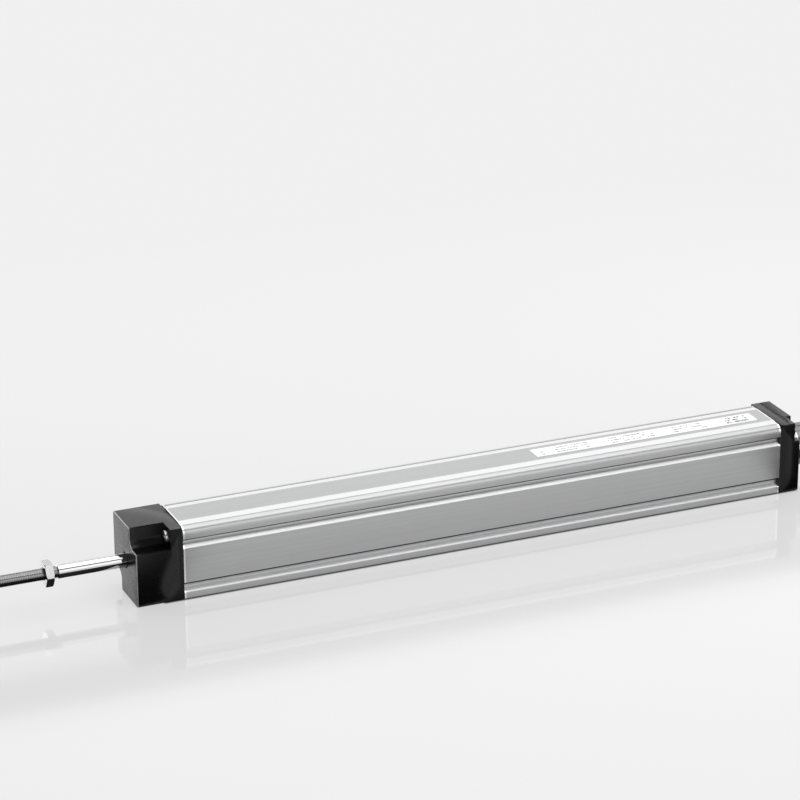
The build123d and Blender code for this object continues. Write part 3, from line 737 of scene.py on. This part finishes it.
def rounded(corners: list[tuple[float, float, float]], steps: int = 6) -> list[Point2]:
    """A closed outline whose corners are rounded.

    Args:
        corners: (across, up, radius) corners in order; a radius of zero stays sharp.
        steps: Facets of each rounding.

    Returns:
        The outline's points.
    """
    outline: list[Point2] = []
    for index, (x, y, radius) in enumerate(corners):
        here = Vector((x, y))
        before = Vector(corners[index - 1][:2]) - here
        after = Vector(corners[(index + 1) % len(corners)][:2]) - here
        if radius <= 0:
            outline.append((x, y))
            continue
        opening = before.angle(after)
        reach = radius / math.tan(opening / 2)
        start, end = here + before.normalized() * reach, here + after.normalized() * reach
        halfway = (before.normalized() + after.normalized()).normalized()
        middle = here + halfway * radius / math.sin(opening / 2)
        first, last = start - middle, end - middle
        sweep = first.angle_signed(last)
        for step in range(steps + 1):
            turn = Matrix.Rotation(-sweep * step / steps, 2)
            spot = middle + turn @ first
            outline.append((spot.x, spot.y))
    return outline


def merged_copy(node: str, name: str, finish: Finish, sharp: float = 30.0) -> bpy.types.Object:
    """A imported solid's mesh with its loose triangles merged, as a piece that stands for it.

    Args:
        node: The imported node.
        name: The piece's name.
        finish: Its finish.
        sharp: Edges above this angle, in degrees, stay sharp.

    Returns:
        The piece, not yet riding.
    """
    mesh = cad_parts[node].data.copy()
    mesh.materials.clear()
    weld(mesh)
    piece = finished(name, mesh, finish, sharp)
    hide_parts(node)
    return piece


def keep(node: str, finish: Finish) -> None:
    """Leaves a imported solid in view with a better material."""
    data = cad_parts[node].data
    data.materials.clear()
    data.materials.append(finish.material())
    log.info("kept %s in %s", node, finish.name)


def settle(piece: bpy.types.Object, body: Body, *nodes: str) -> bpy.types.Object:
    """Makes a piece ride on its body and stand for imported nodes.

    Args:
        piece: The piece, in place.
        body: The body it moves with.
        nodes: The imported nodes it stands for.

    Returns:
        The piece.
    """
    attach(piece, body.value)
    if nodes:
        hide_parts(*nodes)
    log.info("made %s, %d faces, on %s", piece.name, len(piece.data.polygons), body.value)
    return piece


@dataclass
class Profile:
    """The extruded aluminium housing: side grooves, seams, facets and plateau round a chamber."""

    half_width: float = 14.5 * MM
    shoulder: float = 32.7 * MM
    rise: float = 0.2 * MM
    plateau_half: float = 7.1 * MM
    facet_half: float = 10.9 * MM
    seam: float = 0.3 * MM
    seam_depth: float = 0.2 * MM
    shoulder_radius: float = 3.2 * MM
    foot_radius: float = 0.6 * MM
    groove_depth: float = 2.6 * MM
    low_groove: tuple[float, float, float] = (3.2 * MM, 5.0 * MM, 7.3 * MM)
    high_groove: tuple[float, float, float] = (23.2 * MM, 25.6 * MM, 27.1 * MM)
    root_radius: float = 0.2 * MM
    crisp: float = 0.12 * MM
    lip: float = 0.3 * MM
    chamber_half: float = 10.2 * MM
    chamber: tuple[float, float] = (7.9 * MM, 24.2 * MM)
    channel_half: float = 5.4 * MM
    channel: tuple[float, float] = (2.4 * MM, 30.4 * MM)
    slot: tuple[float, float] = (0.95 * MM, 1.7 * MM)
    port_radius: float = 1.55 * MM
    port_from_side: float = 4.9 * MM
    port_from_top: float = 4.8 * MM

    def right_half(self) -> list[tuple[float, float, float]]:
        """Corners of the outer outline's right half, from the foot to the plateau's edge."""
        root = self.half_width - self.groove_depth
        wide, top = self.half_width, self.shoulder
        corners = [(wide, 0.0, self.foot_radius)]
        for foot, apex, brow in (self.low_groove, self.high_groove):
            corners += [(wide, foot, self.lip), (root, apex, self.root_radius), (wide, brow, self.lip)]
        corners += [(wide, top, self.shoulder_radius), (self.facet_half + self.seam, top, self.crisp)]
        corners += [(self.facet_half, top - self.seam_depth, 0.0)]
        corners += [(self.plateau_half, top + self.rise, self.crisp)]
        return corners

    def outer(self) -> list[Point2]:
        """The whole outer outline."""
        right = self.right_half()
        left = [(-x, y, radius) for x, y, radius in reversed(right)]
        return rounded(right + left, 8)

    def inner(self) -> list[Point2]:
        """The chamber with its channels and board slots."""
        low, high = self.chamber
        reach, deep = self.slot
        side, middle = self.chamber_half, self.channel_half
        right = [(middle, self.channel[0]), (middle, low), (side + reach, low), (side + reach, low + deep)]
        right += [(side, low + deep), (side, high), (middle, high), (middle, self.channel[1])]
        return right + [(-x, y) for x, y in reversed(right)]

    def ports(self) -> list[list[Point2]]:
        """The four screw ports."""
        across = self.half_width - self.port_from_side
        heights = (self.port_from_top, self.shoulder - self.port_from_top)
        turns = [math.radians(15 * step) for step in range(24)]
        ring = [(self.port_radius * math.cos(turn), self.port_radius * math.sin(turn)) for turn in turns]
        return [
            [(side * across + x, z + y) for x, y in ring]
            for side in (-1, 1)
            for z in heights
        ]

    def section(self) -> bpy.types.Curve:
        """The section as a curve of closed splines."""
        curve = bpy.data.curves.new("profile_section", "CURVE")
        curve.dimensions = "2D"
        curve.fill_mode = "NONE"
        for loop in [self.outer(), self.inner(), *self.ports()]:
            spline = curve.splines.new("POLY")
            spline.points.add(len(loop) - 1)
            for spot, (x, y) in zip(spline.points, loop):
                spot.co = (x, y, 0.0, 1.0)
            spline.use_cyclic_u = True
        return curve

    def build(self) -> None:
        """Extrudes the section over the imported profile's length."""
        low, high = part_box("housing_profile")
        tree = Solid("extruded_profile", {"Length": high.x - low.x, "Start": low.x})
        face = tree.node("GeometryNodeFillCurve", inputs={"Curve": tree.entry.out("Geometry")}).out(0)
        far = tree.node(
            "GeometryNodeExtrudeMesh",
            inputs={"Mesh": face, "Offset": tree.vector(z=1.0), "Offset Scale": tree.size("Length"),
                    "Individual": False},
        ).out("Mesh")
        near = tree.node("GeometryNodeFlipFaces", inputs={0: face}).out(0)
        whole = tree.node(
            "GeometryNodeMergeByDistance", inputs={"Geometry": tree.joined(far, near), "Distance": 0.001 * MM}
        ).out(0)
        tree.ends(tree.moved(whole, tree.vector(x=tree.size("Start")), (math.pi / 2, 0.0, math.pi / 2)))
        piece = tree.make(ALUMINIUM, self.section(), 24.0)
        settle(piece, Body.HOUSING, "housing_profile")


@dataclass
class Thread:
    """An outside thread as a ridge that runs round a core, by its pitch and depth."""

    name: str
    crest: float
    pitch: float
    start: float
    length: float
    finish: Finish
    core_overlap: float = 0.12 * MM
    foot_share: float = 0.44
    crest_share: float = 0.07
    steps: int = 40

    @property
    def depth(self) -> float:
        """Depth of a standard ridge."""
        return THREAD_DEPTH * self.pitch

    def build(self) -> bpy.types.Object:
        """Sweeps the ridge along a helix."""
        turns = self.length / self.pitch
        tree = Solid(
            self.name,
            {"Radius": self.crest - self.depth, "Turns": turns, "Length": self.length,
             "Pitch": self.pitch, "Depth": self.depth, "Overlap": self.core_overlap,
             "Start": self.start, "Height": AXIS_HEIGHT},
        )
        helix = tree.node(
            "GeometryNodeCurveSpiral",
            inputs={"Resolution": self.steps, "Rotations": tree.size("Turns"), "Height": tree.size("Length"),
                    "Start Radius": tree.size("Radius"), "End Radius": tree.size("Radius")},
        ).out(0)
        upright = tree.node("GeometryNodeSetCurveNormal", {"mode": "Z_UP"}, {"Curve": helix}).out(0)
        half = tree.size("Pitch") * self.foot_share
        crest = tree.size("Pitch") * self.crest_share
        ridge = tree.node(
            "GeometryNodeCurvePrimitiveQuadrilateral",
            {"mode": "POINTS"},
            {"Point 1": tree.vector(0.0 - tree.size("Overlap"), 0.0 - half),
             "Point 2": tree.vector(0.0 - tree.size("Overlap"), half),
             "Point 3": tree.vector(tree.size("Depth"), crest),
             "Point 4": tree.vector(tree.size("Depth"), 0.0 - crest)},
        ).out(0)
        swept = tree.node(
            "GeometryNodeCurveToMesh", inputs={"Curve": upright, "Profile Curve": ridge, "Fill Caps": True}
        ).out(0)
        spot = tree.vector(x=tree.size("Start"), z=tree.size("Height"))
        tree.ends(tree.moved(swept, spot, (math.pi / 2, 0.0, math.pi / 2)))
        return tree.make(self.finish, sharp=20.0)


@dataclass
class PullRod:
    """The ground rod with its rolled thread and the lock nut."""

    radius: float = ROD_CREST
    pitch: float = M_PITCH
    thread_length: float = 30.0 * MM
    tip_chamfer: float = 0.7 * MM
    tip_inset: float = 0.35 * MM
    run_out: tuple[float, float] = (0.3 * MM, 0.35 * MM)
    rim: tuple[float, float] = (0.6 * MM, 0.02 * MM)
    thread_stop: float = 0.5 * MM
    nut_flats: float = 10.0 * MM
    nut_turn: float = 0.0
    nut_chamfer: float = 0.42 * MM
    nut_thickness: float = 3.4 * MM
    bore_overlap: float = 0.2 * MM
    mouth: tuple[float, float] = (0.7 * MM, 1.5 * MM)
    corner_round: float = 1.02
    chamfer_slope: float = 1.5
    cut_through: float = 1.2

    def build(self) -> None:
        """Builds shank, thread and nut."""
        low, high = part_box("pull_rod")
        core = self.radius - THREAD_DEPTH * self.pitch
        thread_end = low.x + self.thread_length
        outline = [
            (low.x, 0.0),
            (low.x, core - self.tip_inset),
            (low.x + self.tip_inset, core),
            (thread_end - self.run_out[0], core),
            (thread_end + self.run_out[1], self.radius - self.rim[1]),
            (thread_end + self.rim[0], self.radius),
            (high.x, self.radius),
            (high.x, 0.0),
        ]
        shank = turned("rod_shank", outline, ROD_STEEL)
        settle(shank, Body.ROD, "pull_rod")
        start = low.x + self.tip_chamfer
        length = thread_end - start - self.thread_stop
        thread = Thread("rod_thread", self.radius, self.pitch, start, length, THREAD_STEEL)
        settle(thread.build(), Body.ROD, "pull_rod")
        settle(self.nut(), Body.ROD, "lock_nut")

    def nut(self) -> bpy.types.Object:
        """A thin hexagon nut chamfered at both faces, with a countersunk bore."""
        low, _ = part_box("lock_nut")
        tree = Solid(
            "lock_nut_body",
            {"Flats": self.nut_flats, "Thickness": self.nut_thickness, "Chamfer": self.nut_chamfer,
             "Bore": self.radius - self.bore_overlap, "Place": low.x + self.nut_thickness / 2,
             "Height": AXIS_HEIGHT},
        )
        corner = tree.size("Flats") / math.sqrt(3)
        hexagon = tree.cylinder(corner, tree.size("Thickness"), 6)
        cone = tree.size("Chamfer")
        full, inset = corner * self.corner_round, cone * self.chamfer_slope
        barrel = self.barrel(tree, full, tree.size("Thickness"), inset, cone)
        body = tree.cut(hexagon, barrel, "INTERSECT")
        bore = tree.cylinder(tree.size("Bore"), tree.size("Thickness") * self.cut_through, 64)
        wider, deep = self.mouth
        mouth = self.barrel(tree, tree.size("Bore") + wider, 2 * deep, deep, deep)
        half = tree.size("Thickness") * 0.5
        for way in (-1.0, 1.0):
            body = tree.cut(body, tree.moved(mouth, tree.vector(z=way * (half + deep / 2))))
        body = tree.cut(body, bore)
        spot = tree.vector(x=tree.size("Place"), z=tree.size("Height"))
        tree.ends(tree.moved(body, spot, (math.pi / 2, math.radians(self.nut_turn), math.pi / 2)))
        return tree.make(NUT_STEEL, sharp=25.0)

    @staticmethod
    def barrel(tree: Solid, radius: Signal, length: Number, inset: Number, drop: Number) -> Signal:
        """A cylinder whose two rims are cut back in cones.

        Args:
            tree: The tree it goes into.
            radius: Its full radius.
            length: Its length.
            inset: How much smaller the end faces' radius is.
            drop: How far the cones run along it.

        Returns:
            The mesh.
        """
        mesh = tree.cylinder(radius, length, 96, 3)
        x, y, z = tree.position()
        half = length * 0.5
        at_end = abs(z) > half * 0.9
        shrink = 1.0 - at_end * (inset / radius)
        along = z.maths("SIGN", z) * (half - drop * (1.0 - at_end))
        return tree.node(
            "GeometryNodeSetPosition",
            inputs={"Geometry": mesh, "Position": tree.vector(x * shrink, y * shrink, along)},
        ).out(0)


@dataclass
class EndScrews:
    """Two pan head screws with a cross recess, at the corners of one end block."""

    node: str
    name: str
    facing: Facing
    head_radius: float = 3.0 * MM
    head_height: float = 2.2 * MM
    dome: float = 0.75 * MM
    shank_radius: float = 1.5 * MM
    cross: tuple[float, float, float] = (3.6 * MM, 0.75 * MM, 1.2 * MM)
    core: tuple[float, float, float] = (0.4, 2.4, 1.35)

    def build(self) -> None:
        """Builds one screw and puts it on both seats."""
        low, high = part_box(self.node)
        reach = self.head_radius
        seats = [(low.y + reach, high.z - reach), (high.y - reach, low.z + reach)]
        length = high.x - low.x - self.head_height
        top = low.x if self.facing is Facing.FRONT else high.x
        tree = Solid(
            self.name,
            {"Head Radius": self.head_radius, "Head Height": self.head_height, "Dome": self.dome,
             "Shank Radius": self.shank_radius, "Shank Length": length, "Cross Length": self.cross[0],
             "Cross Width": self.cross[1], "Cross Depth": self.cross[2], "Top": top},
        )
        head = self.head(tree)
        cross = self.recess(tree)
        shank = tree.cylinder(tree.size("Shank Radius"), tree.size("Shank Length"), 32)
        sunk = 0.0 - tree.size("Head Height") - tree.size("Shank Length") * 0.5
        shank = tree.moved(shank, tree.vector(z=sunk))
        screw = tree.joined(tree.cut(head, cross), shank)
        turn = (0.0, math.pi / 2 * self.facing.value, 0.0)
        screw = tree.moved(screw, tree.vector(x=tree.size("Top")), turn)
        tree.ends(tree.at_points(tree.entry.out("Geometry"), screw))
        mesh = bpy.data.meshes.new(self.name + "_seats")
        mesh.from_pydata([(0.0, y, z) for y, z in seats], [], [])
        settle(tree.make(SCREW_STEEL, mesh, 35.0), Body.HOUSING, self.node)

    def head(self, tree: Solid) -> Signal:
        """The pan head below the origin, with its top domed and its rim rounded."""
        mesh = tree.node(
            "GeometryNodeMeshCylinder",
            inputs={"Vertices": 64, "Side Segments": 1, "Fill Segments": 10,
                    "Radius": tree.size("Head Radius"), "Depth": tree.size("Head Height")},
        ).out("Mesh")
        x, y, z = tree.position()
        share = ((x * x + y * y) ** 0.5) / tree.size("Head Radius")
        sag = tree.size("Dome") * (share ** 3.0) * (z > 0.0)
        half = tree.size("Head Height") * 0.5
        return tree.node(
            "GeometryNodeSetPosition",
            inputs={"Geometry": mesh, "Position": tree.vector(x, y, z - half - sag)},
        ).out(0)

    def recess(self, tree: Solid) -> Signal:
        """The cross recess's cutter, narrower towards its tip."""
        long, wide, deep = tree.size("Cross Length"), tree.size("Cross Width"), tree.size("Cross Depth")
        arms = [
            tree.block(tree.vector(long, wide, deep * 2.0)),
            tree.block(tree.vector(wide, long, deep * 2.0)),
        ]
        tip, tall, drop = self.core
        core = tree.node(
            "GeometryNodeMeshCone",
            inputs={"Vertices": 24, "Radius Top": wide, "Radius Bottom": wide * tip, "Depth": deep * tall},
        ).out("Mesh")
        return tree.joined(*arms, tree.moved(core, tree.vector(z=0.0 - deep * drop)))


@dataclass
class EndBlocks:
    """The moulded head and cap with their gaskets, screws, seal and bushing."""

    sharp: float = 28.0

    def build(self) -> None:
        """Dresses the blocks and builds the screws."""
        for node, finish in (
            ("front_head", BLACK_PLASTIC),
            ("rear_cap", BLACK_PLASTIC),
            ("front_gasket", BLACK_RUBBER),
            ("rear_gasket", BLACK_RUBBER),
            ("rod_wiper_seal", BLACK_RUBBER),
            ("rod_bushing", BEARING_BRONZE),
            ("front_bumper", BLACK_RUBBER),
            ("rear_bumper", BLACK_RUBBER),
        ):
            settle(merged_copy(node, node + "_skin", finish, self.sharp), Body.HOUSING)
        EndScrews("front_screws", "head_pan_screws", Facing.FRONT).build()
        EndScrews("rear_screws", "cap_pan_screws", Facing.REAR).build()


@dataclass
class PlugSocket:
    """The round connector: turned shell with its thread, insert, ring and contacts."""

    crest: float = SHELL_CREST
    pitch: float = M_PITCH
    thread_from: float = 1.2 * MM
    thread_to: float = 1.0 * MM
    bore: float = 6.0 * MM
    inner: float = 8.4 * MM
    neck: float = 7.5 * MM
    flange: tuple[float, float] = (11.0 * MM, 2.0 * MM)
    edge: float = 0.6 * MM
    key: tuple[float, float] = (1.6 * MM, 1.8 * MM)

    def shell(self) -> None:
        """Turns the shell, cuts its thread and adds the key that a plug's groove fits."""
        low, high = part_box("connector_shell")
        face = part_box("rear_cap")[1].x
        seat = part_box("connector_insert")[0].x
        wide, thick = self.flange
        root = self.crest - THREAD_DEPTH * self.pitch
        outline = [(low.x, self.bore), (low.x, self.neck), (face, self.neck), (face, wide)]
        outline += [(face + thick - self.edge, wide), (face + thick, wide - self.edge), (face + thick, root)]
        outline += [(high.x - self.edge, root), (high.x, root - self.edge), (high.x, self.inner)]
        outline += [(seat, self.inner), (seat, self.bore), (low.x, self.bore)]
        core = turned("connector_shell_core", outline, SHELL_METAL)
        settle(core, Body.HOUSING, "connector_shell")
        start = face + thick + self.thread_from
        length = high.x - self.thread_to - start
        thread = Thread("connector_thread", self.crest, self.pitch, start, length, SHELL_THREAD)
        settle(thread.build(), Body.HOUSING, "connector_shell")
        settle(self.guide_key(), Body.HOUSING, "connector_shell")

    def guide_key(self) -> bpy.types.Object:
        """The key at the top of the socket's bore."""
        ring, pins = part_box("connector_retaining_ring")[1].x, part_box("connector_pins")[1].x
        width, depth = self.key
        tree = Solid(
            "connector_key",
            {"Length": pins - ring, "Width": width, "Depth": depth, "Place": (pins + ring) / 2,
             "Height": AXIS_HEIGHT + self.inner},
        )
        block = tree.block(tree.vector(tree.size("Length"), tree.size("Width"), tree.size("Depth")))
        tree.ends(tree.moved(block, tree.vector(x=tree.size("Place"), z=tree.size("Height"))))
        return tree.make(SHELL_METAL)

    def build(self) -> None:
        """Builds the shell and dresses what is in it."""
        self.shell()
        for node, finish in (
            ("connector_retaining_ring", SHELL_METAL),
            ("connector_o_ring", BLACK_RUBBER),
            ("connector_insert", INSERT_PLASTIC),
            ("connector_pins", CONTACT_GOLD),
        ):
            settle(merged_copy(node, node + "_skin", finish), Body.HOUSING)


@dataclass
class Label:
    """A film label with rows of short plain dashes in groups, which spell nothing."""

    margins: tuple[float, float] = (4.0 * MM, 2.0 * MM)
    dash: tuple[float, float] = (1.4 * MM, 0.6 * MM)
    ink: float = 0.01 * MM
    rows: int = 3
    columns: int = 72
    groups: float = 70.0
    gap_share: float = 0.46
    kept_share: float = 0.72
    growth: float = 0.8
    large_from: float = 0.36
    lengths: tuple[float, float] = (0.35, 1.15)

    def build(self) -> None:
        """Builds the film and its print."""
        settle(merged_copy("data_label", "label_film_sheet", LABEL_FILM), Body.HOUSING)
        settle(self.dashes(), Body.HOUSING)

    def dashes(self) -> bpy.types.Object:
        """Dashes of uneven length on a grid, with gaps between groups."""
        low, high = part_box("data_label")
        tree = Solid(
            "label_dashes",
            {"Length": high.x - low.x - 2 * self.margins[0], "Width": high.y - low.y - 2 * self.margins[1],
             "Middle": (low.x + high.x) / 2, "Top": high.z, "Ink": self.ink,
             "Dash": self.dash[0], "Stroke": self.dash[1]},
        )
        grid = tree.node(
            "GeometryNodeMeshGrid",
            inputs={"Size X": tree.size("Length"), "Size Y": tree.size("Width"),
                    "Vertices X": self.columns, "Vertices Y": self.rows},
        ).out("Mesh")
        chance = tree.node("FunctionNodeRandomValue", {"data_type": "FLOAT"}, {"Seed": 11}).out(1)
        along, _, _ = tree.position()
        group = tree.node(
            "ShaderNodeTexNoise",
            inputs={"Vector": tree.vector(x=along * self.groups), "Scale": 1.0, "Detail": 0.0},
        ).out(0)
        dropped = ((group < self.gap_share) + (chance > self.kept_share)) > 0.5
        sparse = tree.node("GeometryNodeDeleteGeometry", inputs={0: grid, 1: dropped}).out(0)
        least, most = self.lengths
        stretch = tree.node(
            "FunctionNodeRandomValue", {"data_type": "FLOAT"}, {2: least, 3: most, "Seed": 5}
        ).out(1)
        tall = 1.0 + self.growth * (along > tree.size("Length") * self.large_from)
        dash = tree.block(tree.vector(tree.size("Dash"), tree.size("Stroke"), tree.size("Ink")))
        marks = tree.node(
            "GeometryNodeInstanceOnPoints",
            inputs={"Points": sparse, "Instance": dash, "Scale": tree.vector(stretch, tall, 1.0)},
        ).out(0)
        tree.ends(tree.moved(marks, tree.vector(tree.size("Middle"), 0.0, tree.size("Top"))))
        return tree.make(LABEL_INK)


@dataclass
class Mechanism:
    """The sealed inside: element board, tracks, terminals, leads and the carriage."""

    finishes: dict[str, Finish] = field(
        default_factory=lambda: {
            "element_board": LAMINATE,
            "resistive_track": RESISTIVE_FILM,
            "collector_track": COLLECTOR_FILM,
            "track_terminals": TERMINAL_METAL,
            "lead_wires": WIRE_COVER,
            "carriage_block": CARRIAGE_PLASTIC,
            "slide_runners": RUNNER_PLASTIC,
            "coupling_plate": CARRIAGE_PLASTIC,
            "coupling_screws": SCREW_STEEL,
            "carriage_spring": SPRING_BRONZE,
            "wiper_holder": CARRIAGE_PLASTIC,
            "resistive_wiper": SPRING_BRONZE,
            "collector_wiper": SPRING_BRONZE,
            "rod_ball": ROD_STEEL,
        }
    )

    def build(self) -> None:
        """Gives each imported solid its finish."""
        for node, finish in self.finishes.items():
            keep(node, finish)


@dataclass(frozen=True)
class Softbox:
    """A long lamp over the sensor, by its swing round the X axis and its radiance.

    The swing runs in degrees from the front horizon up over the top to the back horizon.
    """

    name: str
    swing: tuple[float, float]
    reach: tuple[float, float]
    radiance: float
    distance: float = 1.2

    def build(self) -> None:
        """Links the lamp, with the power that gives its radiance."""
        middle = math.radians((self.swing[0] + self.swing[1]) / 2)
        half = math.radians((self.swing[1] - self.swing[0]) / 2)
        lamp = bpy.data.lights.new(self.name, "AREA")
        lamp.shape = "RECTANGLE"
        lamp.size = self.reach[1] - self.reach[0]
        lamp.size_y = 2 * self.distance * math.tan(half)
        lamp.energy = self.radiance * math.pi * lamp.size * lamp.size_y
        holder = linked(self.name, lamp)
        across, up = -self.distance * math.cos(middle), self.distance * math.sin(middle)
        holder.location = ((self.reach[0] + self.reach[1]) / 2, across, up)
        holder.rotation_euler = (math.pi / 2 - middle, 0.0, 0.0)


@dataclass
class Studio:
    """The pale table, the plain soft light and the camera."""

    background: float = 0.872
    table_reach: tuple[float, float, float] = (6.0, -6.0, 9.0)
    table_grey: float = 0.20
    table_glow: float = 0.51
    table_sheen: float = 0.85
    # Width of the painted contact shadow round the housing's footprint.
    contact_shadow_reach: float = 1.2 * MM
    foot: tuple[float, float] = (150.0 * MM, 14.5 * MM)
    glow_half: float = 0.2
    glow_near: float = 0.12
    glow_far: float = 0.42
    room_light: float = 0.55
    room_dim: float = 0.16
    lens: float = 150.0
    sensor: float = 36.0
    azimuth: float = 22.903
    elevation: float = 21.597
    roll: float = 0.265
    station: tuple[float, float, float] = (-0.5521, -1.2190, 0.5921)
    flag_height: float = 0.0004
    flags: tuple[tuple[float, float, float, float], ...] = (
        (-0.300, -0.172, 0.006, -0.060),
        (-0.165, -0.146, -0.0155, -0.115),
        (0.1420, 0.1850, -0.0155, -0.160),
    )
    flag_slant: float = 0.42
    softboxes: tuple[Softbox, ...] = (
        Softbox("back_box", (152.0, 178.0), (-0.75, 1.75), 0.98, 1.35),
        Softbox("back_strip", (138.5, 150.5), (-0.30, 1.20), 1.6, 1.3),
        Softbox("high_box", (99.0, 127.0), (-0.10, 1.00), 2.0),
        Softbox("overhead_box", (57.0, 95.0), (-0.10, 1.00), 2.1),
        Softbox("front_box", (4.0, 41.0), (-0.10, 1.00), 1.45),
        Softbox("left_back_box", (153.0, 168.0), (-0.85, -0.40), 5.0, 1.34),
    )

    def build(self) -> None:
        """Sets the view transform, table, room, lamps and camera."""
        scene = bpy.context.scene
        scene.view_settings.view_transform = "Standard"
        self.table()
        self.flag()
        self.room(scene)
        for softbox in self.softboxes:
            softbox.build()
        self.camera(scene)

    def table(self) -> None:
        """A wide glossy table that mirrors the sensor, with a thin painted contact shadow round the housing,
        and fades into the plain background.
        """
        mesh = bpy.data.meshes.new("table")
        side, front, back = self.table_reach
        corners = [(-side, front, 0.0), (side, front, 0.0), (side, back, 0.0), (-side, back, 0.0)]
        mesh.from_pydata(corners, [], [(0, 1, 2, 3)])
        table = linked("table", mesh)
        shading = Shading("table_top")
        seen = self.seen(shading)
        along, across, _ = shading.axes()
        past = abs(along) - self.glow_half
        beyond = past.maths("MAXIMUM", past, 0.0)
        far = (beyond * beyond + across * across) ** 0.5
        fade = far.ramp_up(self.glow_near, self.glow_far)
        # Painted shadow: the glow fades out within a thin band round the housing's footprint.
        out_along, out_across = abs(along) - self.foot[0], abs(across) - self.foot[1]
        outside_contact_shadow = out_along.maths("MAXIMUM", out_along, out_across).ramp_up(0.0, self.contact_shadow_reach)
        dimmed = 1.0 - (1.0 - self.table_sheen) * shading.node("ShaderNodeLightPath").out("Is Glossy Ray")
        glow = seen * dimmed * self.table_glow * outside_contact_shadow
        shading.set(
            Base_Color=(self.table_grey,) * 3,
            Roughness=0.06,
            IOR=1.45,
            Emission_Color=(1.0, 1.0, 1.0),
            Emission_Strength=glow,
        )
        plain = shading.node("ShaderNodeEmission", inputs={"Color": WHITE, "Strength": self.background})
        blend = shading.node(
            "ShaderNodeMixShader", inputs={0: fade * seen, 1: shading.shader.out("BSDF"), 2: plain.out(0)}
        )
        shading.show(blend)
        mesh.materials.append(shading.material)

    @staticmethod
    def seen(graph: Graph) -> Signal:
        """1 for rays from the camera or from gloss and glass, 0 for plain light."""
        ray = graph.node("ShaderNodeLightPath")
        glossy = ray.out("Is Glossy Ray") + ray.out("Is Transmission Ray")
        return glossy.maths("ADD", ray.out("Is Camera Ray"), glossy, clamp=True)

    def flag(self) -> None:
        """Black cards by the rod, head and cap, seen only in reflections from above, where they stand in for
        shade as painted dark reflections.
        """
        mesh = bpy.data.meshes.new("black_flag")
        points = [
            (x + self.flag_slant * (back - y), y, self.flag_height)
            for left, right, back, front in self.flags
            for x, y in ((left, front), (right, front), (right, back), (left, back))
        ]
        mesh.from_pydata(points, [], [tuple(range(first, first + 4)) for first in range(0, len(points), 4)])
        card = linked("black_flag", mesh)
        card.visible_camera = card.visible_diffuse = card.visible_shadow = False
        shading = Shading("black_card")
        shading.set(Base_Color=(0.01, 0.01, 0.01), Roughness=0.9)
        clear = shading.node("ShaderNodeBsdfTransparent")
        under = shading.node("ShaderNodeNewGeometry").out("Backfacing")
        blend = shading.node(
            "ShaderNodeMixShader", inputs={0: under, 1: shading.shader.out("BSDF"), 2: clear.out(0)}
        )
        shading.show(blend)
        mesh.materials.append(shading.material)

    def room(self, scene: bpy.types.Scene) -> None:
        """A plain room: the camera sees the background's grey, and gloss a dimmer ceiling."""
        world = bpy.data.worlds.new("room")
        scene.world = world
        world.use_nodes = True
        graph = Graph(world.node_tree)
        world.node_tree.nodes.clear()
        ray = graph.node("ShaderNodeLightPath")
        camera, glossy = ray.out("Is Camera Ray"), ray.out("Is Glossy Ray")
        strength = camera * self.background + glossy * self.room_dim
        strength = strength + (1.0 - camera - glossy) * self.room_light
        light = graph.node("ShaderNodeBackground", inputs={"Color": WHITE, "Strength": strength})
        graph.node("ShaderNodeOutputWorld", inputs={"Surface": light.out(0)})

    def camera(self, scene: bpy.types.Scene) -> None:
        """The camera at the photograph's place and angle."""
        data = bpy.data.cameras.new("camera")
        data.lens, data.sensor_width = self.lens, self.sensor
        data.clip_start, data.clip_end = 0.05, 60.0
        turn, tilt = math.radians(self.azimuth), math.radians(self.elevation)
        right = Vector((math.cos(turn), -math.sin(turn), 0.0))
        up = Vector((math.sin(turn) * math.sin(tilt), math.cos(turn) * math.sin(tilt), math.cos(tilt)))
        back = right.cross(up)
        pose = Matrix((right, up, back)).transposed() @ Matrix.Rotation(-math.radians(self.roll), 3, "Z")
        camera = linked("camera", data)
        camera.matrix_world = Matrix.Translation(self.station) @ pose.to_4x4()
        scene.camera = camera


def main() -> None:
    """Builds every sub-assembly, then the studio."""
    for assembly in (Profile(), PullRod(), EndBlocks(), PlugSocket(), Label(), Mechanism(), Studio()):
        assembly.build()
        log.info("finished %s", type(assembly).__name__)


if __name__ == "__main__":
    main()
